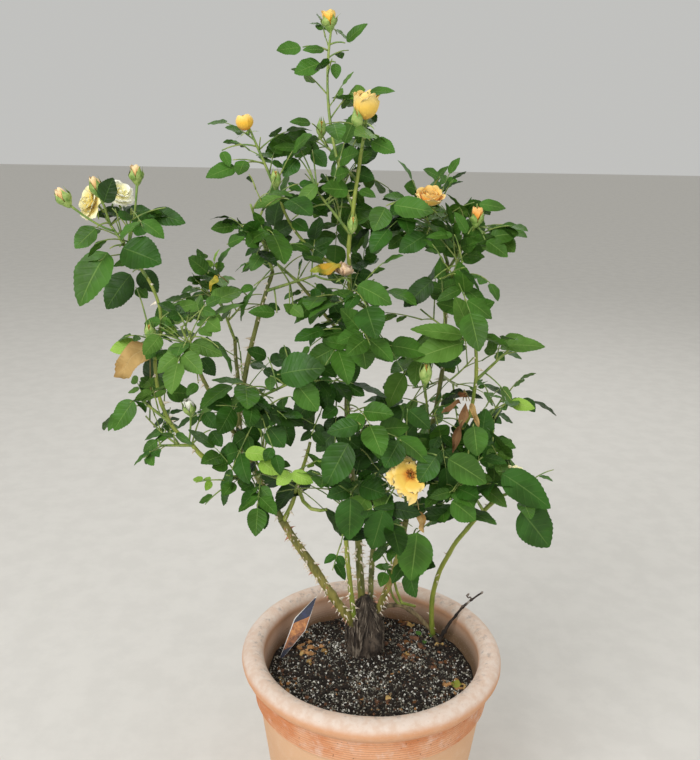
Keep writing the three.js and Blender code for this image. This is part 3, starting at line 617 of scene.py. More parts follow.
makeSoil()
print("potting mix made")


# Limbs: the same paths as the solids, with bark relief, leaf scars and prickles

knuckle = "graft_knuckle"
paths = {knuckle: makePath((4, 48, 312), (98, 66, 256), (-4, 2, 34))}
limbs = {}


def limb(name, on, start, end, bow, foot, tip, bark="olive", prickles=0.0):
    # start is a place, or the share of the carrying limb's length at which this one leaves it
    begin = start if isinstance(start, tuple) else pointOn(paths[on], start)
    paths[name] = makePath(begin, end, bow)
    limbs[name] = {"foot": foot, "tip": tip, "bark": bark, "prickles": prickles}


# name, what carries it, start, end, bow, radius at foot and tip, bark, how prickly
limb("cane_left", knuckle, (-22, 36, 304), (-115, 0, 475), (-2, -5, 2), 6.4, 4.8, "streaked", 0.75)
limb("cane_slim", knuckle, (-21, 33, 312), (-35, 10, 445), (-2, 2, -2), 3.6, 3.0, "bright", 0.55)
limb("cane_centre", knuckle, (-12, 46, 318), (-20, 50, 445), (0, 2, -2), 5.2, 4.4, "olive", 0.6)
limb("cane_back", knuckle, (0, 56, 316), (5, 110, 400), (-2, -3, 0), 4.0, 3.4, "olive", 0.6)
limb("cane_fourth", knuckle, (6, 44, 318), (40, 15, 470), (4, 2, -8), 4.6, 3.6, "streaked", 0.7)
limb("cane_right", knuckle, 0.9, (150, -10, 515), (-28, 5, 0), 3.5, 2.6, "bright", 0.05)
limb("dead_twig", knuckle, 0.98, (152, 78, 330), (-8, -6, 8), 2.2, 1.0, "dead", 0.0)
limb("bough_left_fork", "cane_left", 1, (-165, -10, 585), (0, -5, 0), 4.2, 3.8, "olive", 0.4)
limb("bough_left_tall", "bough_left_fork", 1, (-125, 20, 780), (-10, 5, -8), 3.6, 2.2, "olive", 0.22)
limb("bough_left_back", "bough_left_fork", 0.93, (-180, 90, 680), (-2, 15, -10), 3.0, 2.2, "olive", 0.2)
limb("shoot_left_bend", "bough_left_fork", 0.9, (-215, -35, 585), (0, -8, -18), 3.0, 2.6, "bright", 0.12)
limb("bough_far_left", "shoot_left_bend", 1, (-255, -30, 685), (-10, -2, -10), 2.4, 2.0, "bright", 0.1)
limb("bough_left_inner", "bough_left_fork", 0.98, (-205, -50, 690), (-5, -10, 8), 2.8, 2.2, "olive", 0.15)
limb("bough_left_top", "bough_far_left", 1, (-262.5, -15, 777), (11, 0, -1), 1.9, 1.7, "bright", 0.08)
limb("stub_cut", "cane_left", 0.98, (-80, -5, 580), (4, -8, 2), 3.0, 1.9, "bright", 0.2)
limb("bough_centre", "cane_centre", 1, (-35, 15, 750), (-8, -2, 12), 4.2, 2.8, "olive", 0.1)
limb("bough_high", "bough_centre", 1, (-25, 0, 920), (-5, -8, 0), 2.6, 2.0, "bright", 0.08)
limb("bough_slanting", "bough_centre", 0.8, (-95, 10, 770), (3, 0, -3), 2.3, 1.9, "olive", 0.08)
limb("bough_yellow_bud", "bough_high", 0.2, (-115, 20, 860), (-12, 5, -8), 2.0, 1.6, "bright", 0.06)
limb("bough_right_tall", "cane_fourth", 1, (80, 50, 790), (15, 8, -10), 3.3, 2.2, "olive", 0.12)
limb("bough_right_middle", "bough_right_tall", 0.27, (110, -10, 705), (20, -10, -20), 2.7, 2.0, "bright", 0.1)

barkLook = {"sides": 14, "ringStepMm": 3.0, "scarEveryMm": 46, "scarSwell": 0.11, "kink": 1.4,
            "relief": 0.05, "deadRelief": 0.34, "pricklesPerMm": 0.75, "redPrickles": 0.2,
            # least length of a prickle and what is dealt on top, in millimetres
            "prickle": (3.6, 4.8)}


def barkMaterials():
    # Young rose bark: a smooth waxy skin, olive to yellow-green, streaked with brown where the sun
    # has aged it; on the dead twig it is black and cracked
    return {
        "olive": mottled("olive rose bark", "#545c24", "#868942", 12, 0.5, 0.12, (1, 1, 0.3), "#948558"),
        "bright": mottled("green rose bark", "#73872f", "#9ca648", 14, 0.45, 0.08, (1, 1, 0.3), "#b3b05c"),
        "streaked": mottled("aged rose bark", "#66662b", "#a09750", 10, 0.55, 0.18, (1, 1, 0.25), "#94703f"),
        "dead": mottled("dead rose bark", "#181310", "#3a2f27", 6, 0.85, 0.4, (1, 1, 0.5), "#5a4c3f"),
    }


def makeLimbs():
    look = barkLook
    barks = barkMaterials()
    pale, red = Bunch(), Bunch()
    sides = look["sides"]
    turns = np.arange(sides)
    roundLimb = np.stack([np.cos(turns), np.sin(turns), turns * 0.3], -1) * 3
    for number, (name, one) in enumerate(limbs.items()):
        path = paths[name]
        deal = dealer(900 + number)
        long = length(path["to"] - path["from"])
        ts = np.linspace(0, 1, max(6, int(long / look["ringStepMm"])) + 1)
        points = np.array([pointOn(path, t) for t in ts])
        # small kinks at the leaf scars, none at the ends
        kink = np.sin(ts * math.pi)[:, None] * np.stack(
            [waves(points, 90, 60 + number, 2), waves(points, 80, 90 + number, 2), ts * 0], -1)
        points = points + kink * look["kink"]
        radii = one["foot"] + (one["tip"] - one["foot"]) * ts
        scarAt = (ts * long + 17 * deal()) % look["scarEveryMm"]
        radii = radii * (1 + look["scarSwell"] * np.exp(-((scarAt - 20) / 3.0) ** 2))
        skin = np.repeat(points, sides, axis=0) + np.tile(roundLimb, (len(points), 1))
        grid = waves(skin, 11, 300 + number)
        relief = look["relief"]
        if one["bark"] == "dead":
            relief = look["deadRelief"]
            radii = radii * (1 + 0.5 * np.clip(np.sin(ts * 40), 0, 1) ** 4)
        bunch = Bunch()
        tube(bunch, points, radii, sides, lumps=1 + relief * grid.reshape(-1, sides))
        makePiece(name + "_bark", bunch, barks[one["bark"]], [name])
        count = int(long * one["prickles"] * look["pricklesPerMm"])
        for k in range(count):
            at = 0.03 + 0.94 * (k + deal()) / count
            isRed = one["bark"] == "streaked" and deal() < look["redPrickles"]
            addPrickle(red if isRed else pale, path, at, one, deal)
    # Rose prickles: smooth, horny and slightly see-through, so they read pale pink with a reddish foot
    makePiece("prickles_pale", pale, mottled("pale prickles", "#e0cdb2", "#f6ecdc", 4, 0.45, 0.05))
    makePiece("prickles_red", red, mottled("red prickles", "#a8664e", "#d49c7c", 4, 0.45, 0.05))


def addPrickle(bunch, path, t, one, deal):
    forward = headingOn(path, t)
    out = around(forward, deal() * fullTurn, (0.3, 1, 0.2))
    side = cross(out, forward)
    radius = one["foot"] + (one["tip"] - one["foot"]) * t
    least, dealt = barkLook["prickle"]
    long = least + dealt * deal()
    foot = pointOn(path, t) + out * radius * 0.88
    rows = []
    # along the prickle: share of its length, width, and how far it droops towards the limb's foot
    for share, wide, droop in ((0, 1.0, 0), (0.35, 0.5, 0.02), (0.7, 0.22, 0.1), (1, 0.03, 0.28)):
        centre = foot + out * long * share - forward * long * droop
        rows += [centre + forward * math.cos(turn) * long * 0.33 * wide
                 + side * math.sin(turn) * long * 0.17 * wide for turn in ringAngles(5)]
    bunch.add(np.array(rows), gridQuads(4, 5, wrap=True), [[15, 16, 17], [15, 17, 18], [15, 18, 19]])


def makeSpurs():
    # the dead twig's two short spurs, and the green pruned hook beside the cut stub
    dead, ends, hook = Bunch(), Bunch(), Bunch()
    tips = [paths["dead_twig"]["to"]]
    for share, rise, lean in ((0.62, 13, 9), (0.84, 9, -7)):
        foot = pointOn(paths["dead_twig"], share)
        ts = np.linspace(0, 1, 8)
        bent = [foot + vec(lean * t, -4 * t, rise * t + 2 * math.sin(6 * t)) for t in ts]
        tube(dead, bent, 1.2 - 0.5 * ts + 0.7 * (ts > 0.9), 7)
        tips.append(foot + vec(lean, -4, rise))
    for tip in tips:
        tube(ends, [tip - vec(1, 0, 1), tip + vec(1.5, 0, 1.5), tip + vec(2.5, 0, 3)], [1.2, 1.7, 0.9], 7)
    # Dead wood: cracked and black on the spurs, bleached grey where it broke
    weathered = mottled("weathered twig ends", "#776a60", "#b5aaa0", 3, 0.85, 0.2)
    makePiece("dead_ends", ends, weathered)
    makePiece("dead_spurs", dead, mottled("dead spur bark", "#2a211b", "#74655a", 5, 0.85, 0.4))
    corners = np.array([(-93, -11, 520), (-87, -28, 513), (-77, -38, 508), (-66, -42, 508), (-58, -45, 511)])
    ts = np.linspace(0, 4, 17)
    bent = np.stack([np.interp(ts, range(5), corners[:, k]) for k in range(3)], -1)
    tube(hook, bent, 2.5 - 0.15 * ts, 10)
    trail = [vec(24, 38, 404), vec(28, 40, 375), vec(34, 45, 351), vec(41, 48, 332), vec(60, 56, 322)]
    tube(hook, trail, [1.5, 1.7, 1.9, 2.1, 2.0], 9)
    # Young green wood: a satin skin in one fresh tone
    green = mottled("pruned green hook", "#7d9138", "#a5b158", 12, 0.5, 0.1)
    makePiece("pruned_hook", hook, green)


makeLimbs()
makeSpurs()
print("canes and boughs made")


# The old knuckle: a gnarled foot with shaggy bark strips and its bent old stub

knuckleLook = {"sides": 96, "rings": 60, "meanRadius": 26, "top": 343.5, "strips": 420, "stubRadius": 3.1,
               # burls: direction in degrees, height, spread and bulge in millimetres
               "burls": [(-62, 284, 11, 10), (-135, 272, 9, 4), (-15, 304, 8, 4), (-100, 314, 6, 3),
                         (160, 290, 10, 4), (70, 280, 12, 5), (-95, 262, 9, 4)],
               # the largest burl has shed its strips: direction in radians, height, and how far round it
               "bare": (5.2, 284, 15),
               # distance from its middle and height
               "profile": [(26, 248), (25, 266), (24, 284), (24, 300), (20, 316), (15, 330), (8, 340),
                           (5, 345)]}


def makeKnuckle():
    look = knuckleLook
    sides, rings, mean = look["sides"], look["rings"], look["meanRadius"]
    heights = np.linspace(look["profile"][0][1], look["profile"][-1][1], rings)
    outs = np.interp(heights, [p[1] for p in look["profile"]], [p[0] for p in look["profile"]])
    turn = np.tile(ringAngles(sides), rings)
    height = np.repeat(heights, sides)
    flat = np.stack([np.cos(turn) * mean, np.sin(turn) * mean, height * 0.28], -1)
    swell = 1 + 0.10 * waves(flat, 26, 71, 2) + 0.07 * waves(flat, 7.5, 72, 2)
    out = np.repeat(outs, sides) * swell * 0.97
    for direction, at, wide, bulge in look["burls"]:
        away = (turn - math.radians(direction) + math.pi) % (2 * math.pi) - math.pi
        far = np.hypot(away * mean, height - at)
        out = out + bulge * np.exp(-(far / wide) ** 2) * (1 + 0.12 * np.sin(far * 1.6))
    out = out + 0.7 * waves(np.stack([flat[:, 0], flat[:, 1], height * 0.12], -1), 3.2, 74, 2)
    points = np.stack([knuckleCentre[0] + out * np.cos(turn), knuckleCentre[1] + out * np.sin(turn), height],
                      -1)
    top = len(points)
    points = np.concatenate([points, [[*knuckleCentre, look["top"]]]])
    tris = [[top, top - sides + i, top - sides + (i + 1) % sides] for i in range(sides)]
    bunch = Bunch()
    bunch.add(points, gridQuads(rings, sides, wrap=True), tris)
    ts = np.linspace(0, 1, 34)
    stub = np.array([pointOn(paths[knuckle], t) for t in ts])
    knob = 1 + 0.16 * waves(stub, 13, 73) + 0.45 * np.exp(-((ts - 0.55) / 0.06) ** 2)
    oldStub = Bunch()
    tube(oldStub, stub, look["stubRadius"] - 0.6 * ts, 14, lumps=knob[:, None] * np.ones((1, 14)))
    # Weathered rose wood: worn almost smooth, tan on the ridges of its grain
    stubBark = mottled("old stub bark", "#43382a", "#8d7c58", 8, 0.8, 0.4, (1, 1, 0.4))
    makePiece("old_stub", oldStub, stubBark)
    # Old rose wood: grey-brown, fibrous, split along the grain
    bark = mottled("old shaggy bark", "#241d18", "#574b3f", 7, 0.92, 0.8, (1, 1, 0.22), "#7a6e60")
    makePiece("old_knuckle", bunch, bark, [knuckle])
    # Loose bark: dry papery strips, greyer than the wood under them
    shaggy = mottled("loose bark strips", "#3a3028", "#85796a", 5, 0.95, 0.4, (1, 1, 0.3))
    makePiece("knuckle_strips", barkStrips(look, heights, outs), shaggy)


def barkStrips(look, heights, outs):
    deal = dealer(77)
    strips = Bunch()
    direction, at, bareReach = look["bare"]
    mean = look["meanRadius"]
    for _ in range(look["strips"]):
        angle, begin = deal() * fullTurn, 250 + 82 * deal()
        long, wide, lift = 6 + 14 * deal(), 0.4 + 0.9 * deal(), 0.4 + 2.6 * deal() ** 2
        if math.hypot((angle - direction) * mean, begin + long / 2 - at) < bareReach:
            continue
        rows = []
        for k in range(6):
            share = k / 5
            z = begin + long * share
            out = float(np.interp(z, heights, outs)) + 0.8 + lift * abs(share - 0.5) * 2
            bend = angle + 0.05 * math.sin(share * 3 + angle * 5)
            half = wide * math.sin(math.pi * (0.08 + 0.84 * share))
            for s in (-1, 0, 1):
                turn = bend + s * half / mean
                # the strip is thicker along its middle
                o = out + (0 if s else 0.5)
                rows.append([knuckleCentre[0] + o * math.cos(turn), knuckleCentre[1] + o * math.sin(turn), z])
        strips.add(np.array(rows), gridQuads(6, 3))
    return strips


makeKnuckle()
print("knuckle made")


# The plant label: a thin coated card with plain bands of colour

labelLook = {"top": (-73, 66, 330), "left": (-103, 51, 304), "foot": (-123.7, 23.5, 251),
             "right": (-87, 43, 291),
             # the shares of the way from top to foot at which the left and the right corner lie
             "leftAt": 0.4, "rightAt": 0.5, "thickness": 1.0, "sag": 1.6, "slant": -0.22, "inkLift": 0.6,
             # print: two tones that mix, and the shares of the card's height between which they lie
             "print": [("#10162c", "#1d2750", 0.04, 0.38), ("#8f5226", "#d08c48", 0.38, 0.6),
                       ("#4f2c18", "#a8683a", 0.6, 0.78), ("#10162a", "#1f2640", 0.78, 0.97)]}


def onLabel(s, t, lift):
    # s runs across the kite and t from its top to its foot
    look = labelLook
    top, left, right, foot = (vec(*look[key]) for key in ("top", "left", "right", "foot"))
    edges = [top + (corner - top) * (t / at) if t < at else corner + (foot - corner) * (t - at) / (1 - at)
             for corner, at in ((left, look["leftAt"]), (right, look["rightAt"]))]
    face = unit(cross(left - top, foot - top))
    return edges[0] + (edges[1] - edges[0]) * s + face * (lift + look["sag"] * math.sin(math.pi * t))


def makeLabel():
    look = labelLook
    card = Bunch()
    rows, columns = 25, 9
    quads = gridQuads(rows, columns)
    for side in (1, -1):
        grid = [onLabel(0.5 + (c / (columns - 1) - 0.5) * 0.98, 0.01 + 0.98 * r / (rows - 1),
                        side * look["thickness"] / 2) for r in range(rows) for c in range(columns)]
        card.add(np.array(grid), quads[:, ::side])
    # Coated card: smooth and a little glossy, white where its cut edge shows
    coated = mottled("coated card", "#d9d9d4", "#e8e8e4", 20, 0.45, 0.03)
    makePiece("label_card", card, coated, ["plant_label"])
    for number, (colour, accent, begin, end) in enumerate(look["print"], 1):
        # each printed patch slants a little across the card, on both of its faces
        band = Bunch()
        grid = []
        for side in (1, -1):
            for t in (begin + (end - begin) * r / 9 for r in range(10)):
                slant = look["slant"] * (1 - abs(2 * t - 1))
                grid += [onLabel(0.06 + 0.9 * c / 8, t + slant * (c / 8 - 0.5), side * look["inkLift"])
                         for c in range(9)]
        quads = gridQuads(10, 9)
        band.add(np.array(grid), np.concatenate([quads, quads[:, ::-1] + 90]))
        # Printing ink: flat colour, a little glossier than the card
        ink = mottled(f"printed ink {number}", colour, accent, 9, 0.4, 0.02)
        makePiece(f"label_print_{number}", band, ink)


makeLabel()
print("label made")


# Leaves: one serrated leaflet, bent a little differently each time

leafLook = {"rows": 25, "columns": 5, "width": 0.65, "widest": 0.42, "toothDepth": 0.035,
            "toothLean": 0.012,
            # how full the outline is towards its foot and its tip
            "footShape": (2.4, 0.58), "tipShape": (1.75, 0.9),
            # least and dealt shares: how far the blade folds and arches; then its twist, ripple and stalk
            "fold": (0.3, 1.3), "bladeFold": 0.12, "arch": (0.04, 0.2), "twist": 0.5, "ripple": 0.018,
            "ownStalk": 0.07}
leafRows, leafColumns = leafLook["rows"], leafLook["columns"]


def leafGrid():
    v = np.linspace(0, 1, leafRows)
    # a broad oval with a round foot and a short point, widest just below its middle
    widest = leafLook["widest"]
    below = np.clip((widest - v) / widest, 0, 1)
    above = np.clip((v - widest) / (1 - widest), 0, 1)
    (footPower, footRound), (tipPower, tipRound) = leafLook["footShape"], leafLook["tipShape"]
    half = 0.5 * np.where(v < widest, (1 - below ** footPower) ** footRound,
                          (1 - above ** tipPower) ** tipRound)
    odd = (np.arange(leafRows) % 2).astype(float)
    inside = np.clip(np.minimum(v, 1 - v) * 12, 0, 1)
    margin = half + odd * leafLook["toothDepth"] * 0.5 * inside
    forward = v + odd * leafLook["toothLean"] * inside
    s = np.linspace(-1, 1, leafColumns)
    x = np.outer(half, s)
    x[:, 0], x[:, -1] = -margin, margin
    y = np.tile(v[:, None], (1, leafColumns))
    y[:, 0] = y[:, -1] = forward
    uv = np.stack([np.tile((s + 1) / 2, leafRows), np.repeat(v, leafColumns)], -1)
    return x, y, uv


leafX, leafY, leafUv = leafGrid()
leafQuads = gridQuads(leafRows, leafColumns)


def addLeaflet(bunch, leaf, deal, crumple=0.0, wide=1.0):
    # x across, y along and z out of the blade, then turned into place
    look = leafLook
    own = look["ownStalk"]
    long = leaf["long"] * (1 - own * 0.7)
    side = cross(leaf["ahead"], leaf["face"])
    fold = look["bladeFold"] * (look["fold"][0] + look["fold"][1] * deal())
    arch = look["arch"][0] + look["arch"][1] * deal()
    twist = (deal() - 0.5) * look["twist"]
    phase = deal() * fullTurn
    x = leafX * look["width"] * (0.95 + 0.14 * deal()) * wide
    z = fold * np.abs(x) - arch * leafY ** 2 + arch * 0.45 * leafY
    z = z + look["ripple"] * np.sin(leafY * 16 + phase + np.sign(x)) * np.abs(x) * 3
    z = z + x * twist * leafY
    y = leafY * (1 - 0.12 * arch)
    if crumple:
        z = z + crumple * (np.sin(leafY * 9 + phase) * 0.12 + np.sin(x * 22 + phase * 2) * 0.10)
        x = x * (1 - 0.45 * crumple * (0.5 + 0.5 * np.sin(leafY * 7 + phase)))
    local = np.stack([x, y, z], -1).reshape(-1, 3) * long
    frameRows = np.stack([side, leaf["ahead"], leaf["face"]])
    foot = leaf["foot"] + leaf["ahead"] * leaf["long"] * own
    bunch.add(foot + local @ frameRows, leafQuads, uvs=leafUv)


def leafBetween(foot, tip, faceWish):
    # a leaflet from its foot to its tip, its face as near the wished way as it can be
    long = length(tip - foot)
    ahead = (tip - foot) / long
    return {"foot": foot, "ahead": ahead, "face": squareTo(faceWish, ahead), "long": long}


sprayLook = {
    # as in the part's source: least and dealt length and droop of a spray's stalk, and how far it rolls
    "stalk": (1.15, 0.6), "droop": (0.08, 0.3), "roll": 1.2,
    # share of sprays with one pair of leaflets, where pairs sit on the stalk, and their size beside the
    # leaflet at its end
    "oddOfOnePair": 0.3, "onePairPlace": 0.62, "pairPlaces": (0.74, 0.46), "pairShares": (0.86, 0.68)}


def compoundLeaf(foot, heading, size, deal):
    # the part's own rule: a drooping stalk with one leaflet at its end and one or two pairs beside it
    look = sprayLook
    long = size * (look["stalk"][0] + look["stalk"][1] * deal())
    droop = look["droop"][0] + look["droop"][1] * deal()
    roll = (deal() - 0.5) * look["roll"]
    pairs = 1 if deal() < look["oddOfOnePair"] else 2
    ahead = unit(heading + up * 0.12)

    def at(t):
        return foot + ahead * long * t - up * droop * long * t * t

    def frameAt(t):
        forward = unit(ahead - up * 2 * droop * t)
        side = cross(forward, up)
        if math.sqrt(float(side @ side)) < 0.15:
            side = cross(forward, vec(0, 1, 0))
        side = unit(side)
        face = cross(side, forward)
        tilted = side * math.cos(roll) + face * math.sin(roll)
        return forward, tilted, cross(tilted, forward)

    leaflets = []
    for i in range(5):
        a, b, c = deal(), deal(), deal()
        pair = (i - 1) // 2
        if pair >= pairs:
            continue
        if i == 0:
            t = 1.0
            forward, side, normal = frameAt(t)
            way = forward
            leafLong = size * (0.95 + 0.25 * a)
        else:
            t = look["onePairPlace"] if pairs == 1 else look["pairPlaces"][pair]
            forward, side, normal = frameAt(t)
            angle = 0.95 + 0.35 * (a - 0.5)
            handed = 1 if i % 2 else -1
            way = unit(forward * math.cos(angle) + side * handed * math.sin(angle))
            leafLong = size * (look["pairShares"][pair] + 0.16 * (a - 0.5))
        way = unit(way - up * (0.25 + 0.5 * c) * 0.6)
        tilt = (b - 0.5) * 0.9
        face = squareTo(normal, way)
        across = cross(way, face)
        face = face * math.cos(tilt) + across * math.sin(tilt)
        leaflets.append({"foot": at(t), "ahead": way, "face": face, "long": leafLong})
    return {"stalk": [at(t) for t in np.linspace(0, 1, 6)], "leaflets": leaflets}


# Masses of leaves, by the part's rule and from the part's seeds

masses = {}


def mass(name, on, at, to, seed, leaves, leaf, reach, twigs=0, bare=0.12, bow=(0, 0, 0), tone="deep"):
    masses[name] = {"on": on, "at": at, "to": to, "seed": seed, "leaves": leaves, "leaf": leaf,
                    "reach": reach, "twigs": twigs, "bare": bare, "bow": bow, "tone": tone}


# name, what carries it and at which share of its length, the stem's tip, seed, leaves, leaflet's length,
# reach of its twigs, number of side twigs, share of the stem that is bare, bow, tone
mass("top_shoot", "bough_high", 0.62, (-60, 30, 1045), 67, 5, 30, 75, bare=0.42, bow=(-14, 4, 0),
     tone="light")
mass("bloom_shoot", "bough_high", 1, (-20, -10, 955), 224, 6, 36, 75, bare=0, tone="mid")
mass("yellow_bud", "bough_yellow_bud", 1, (-150, 20, 940), 846, 6, 30, 85, tone="mid")
mass("left_cluster", "bough_left_top", 1, (-305, -10, 840), 554, 8, 38, 110, twigs=1, bare=0, tone="mid")
mass("right_crown", "bough_right_tall", 1, (50, 30, 860), 22, 10, 40, 100, twigs=2, tone="mid")
mass("right_high", "bough_right_tall", 0.97, (105, 0, 840), 353, 6, 34, 70, twigs=1, tone="mid")
mass("right_end", "cane_right", 1, (175, -30, 535), 508, 3, 46, 75, bare=0.3, tone="mid")
mass("right_tip", "bough_right_middle", 0.8, (150, -20, 705), 445, 3, 36, 60, tone="light")
mass("low_right", "cane_fourth", 0.75, (45, -40, 475), 128, 4, 46, 70)
mass("far_left", "bough_far_left", 1, (-260, -30, 720), 447, 4, 28, 60, tone="light")
mass("far_left_low", "bough_far_left", 0.35, (-275, -40, 645), 746, 3, 36, 60, tone="light")
mass("centre_front", "bough_left_tall", 0.22, (-95, -70, 675), 96, 7, 44, 90, twigs=1)
mass("centre_top", "bough_centre", 1, (-10, -30, 745), 684, 9, 42, 90, twigs=2, tone="mid")
mass("centre_low", "cane_slim", 1, (-30, -70, 545), 330, 8, 46, 95, twigs=2)
mass("centre_middle", "bough_centre", 0.72, (-35, -60, 620), 511, 6, 40, 70, twigs=1)
mass("big_bloom", "cane_fourth", 1, (30, -60, 580), 76, 8, 42, 80, twigs=2)
mass("right_low", "cane_right", 0.9, (100, -50, 555), 803, 8, 44, 75, twigs=1)
mass("lime", "bough_left_fork", 0.55, (-130, -70, 570), 880, 10, 36, 90, twigs=3, tone="lime")
mass("right_light", "bough_right_middle", 1, (85, -30, 720), 185, 7, 42, 85, twigs=1, tone="light")
mass("hanging", "bough_right_tall", 0.93, (90, -10, 800), 689, 8, 38, 85, twigs=2, tone="light")
mass("upper_heart", "bough_high", 0.45, (-75, 0, 875), 859, 6, 38, 75, twigs=1, tone="mid")
mass("dark_high", "bough_high", 0.8, (-75, 90, 930), 641, 7, 38, 80, twigs=1, tone="light")
mass("left_high", "bough_left_tall", 1, (-145, -20, 860), 316, 9, 34, 85, twigs=2, tone="mid")
mass("left_shoulder", "bough_slanting", 1, (-140, 50, 800), 565, 5, 34, 65, tone="mid")
mass("spent_twig", "bough_left_tall", 0.9, (-75, 0, 780), 170, 2, 26, 50, bare=0.5)
mass("left_middle", "bough_left_back", 1, (-205, 70, 765), 368, 11, 32, 95, twigs=3, tone="light")
mass("left_inner", "bough_left_inner", 1, (-220, -50, 730), 233, 8, 34, 80, twigs=1, tone="light")
mass("left_drop", "shoot_left_bend", 1, (-250, -50, 590), 67, 6, 30, 75, twigs=1)
mass("green_bud", "bough_right_tall", 0.35, (55, 0, 650), 215, 6, 34, 65, twigs=1)
mass("right_middle", "bough_right_middle", 0.55, (140, 0, 610), 602, 7, 32, 85, twigs=2, tone="light")
mass("hook_shoot", knuckle, 0.5, (25, 50, 385), 835, 2, 24, 40, bare=0.7, bow=(-8, 0, -10), tone="mid")
mass("back_left", "bough_left_back", 0.6, (-175, 200, 585), 569, 8, 36, 100, twigs=3)
mass("back_low", "cane_back", 1, (5, 170, 470), 538, 8, 38, 100, twigs=3)
mass("back_right", "bough_right_tall", 0.6, (120, 200, 590), 429, 8, 38, 100, twigs=3, tone="mid")
mass("back_high", "bough_centre", 0.95, (-40, 180, 730), 87, 9, 36, 95, twigs=3)


shootLook = {
    # as in the part's source: where side twigs leave the stem, how much they head outward, along the stem
    # and up, and their least and dealt length as a share of the reach
    "twigPlaces": (0.25, 0.6), "twigWay": (0.85, 0.55, 0.15), "twigLong": (0.45, 0.35),
    # where a twig's first leaf sits, and how steeply leaves rise and how large they are
    "firstLeaf": 0.12, "rise": (0.2, 0.65), "size": (0.82, 0.36),
    # the same for the finer twiglets, which only the scene has
    "finePlaces": (0.35, 0.5), "fineWay": (0.8, 0.6, 0.25), "fineLong": (0.12, 0.16), "fineSize": (0.5, 0.2)}


def growMass(one):
    look = shootLook
    lowest, span = look["twigPlaces"]
    outward, along, upward = look["twigWay"]
    deal = dealer(one["seed"])
    stem = makePath(pointOn(paths[one["on"]], one["at"]), one["to"], one["bow"])
    shoots = [stem]
    turn = deal() * fullTurn
    for i in range(one["twigs"]):
        t = lowest + span * (i + deal() * 0.6) / one["twigs"]
        out = around(headingOn(stem, t), turn + i * 2.4 + deal() * 0.8)
        way = unit(out * outward + headingOn(stem, t) * along + up * upward)
        long = one["reach"] * (look["twigLong"][0] + look["twigLong"][1] * deal())
        foot = pointOn(stem, t)
        shoots.append(makePath(foot, foot + way * long, (0, 0, -0.04 * long)))
    leaves = []
    perShoot = math.ceil(one["leaves"] / len(shoots))
    for i in range(one["leaves"]):
        shoot = shoots[i % len(shoots)]
        first = one["bare"] if i % len(shoots) == 0 else look["firstLeaf"]
        place = (i // len(shoots) + 0.35 + 0.6 * deal()) / perShoot
        t = min(1, first + (1 - first) * place)
        angle = turn + i * goldenTurn + (deal() - 0.5)
        forward = headingOn(shoot, t)
        lift = look["rise"][0] + look["rise"][1] * deal()
        heading = around(forward, angle) * math.cos(lift) + forward * math.sin(lift)
        size = one["leaf"] * (look["size"][0] + look["size"][1] * deal())
        leaves.append(compoundLeaf(pointOn(shoot, t), unit(heading), size, deal))
    return {"stem": stem, "shoots": shoots, "leaves": leaves}


def finerLeaves(one, grown):
    # the rule carried on: short twiglets on each shoot with a few smaller young leaves
    look = shootLook
    outward, along, upward = look["fineWay"]
    (first, span), (least, dealt) = look["finePlaces"], look["fineLong"]
    deal = dealer(one["seed"] + 2000)
    extra = []
    for number, shoot in enumerate(grown["shoots"]):
        for _ in range(2):
            t = (first if number else max(one["bare"], 0.3)) + span * deal()
            t = min(t, 0.97)
            forward = headingOn(shoot, t)
            out = around(forward, deal() * fullTurn)
            long = one["reach"] * (least + dealt * deal())
            foot = pointOn(shoot, t)
            way = unit(out * outward + forward * along + up * upward)
            twig = makePath(foot, foot + way * long, (0, 0, 0.05 * long))
            size = one["leaf"] * (look["fineSize"][0] + look["fineSize"][1] * deal())
            extra.append((twig, compoundLeaf(twig["to"], unit(way + up * 0.2), size, deal)))
    return extra


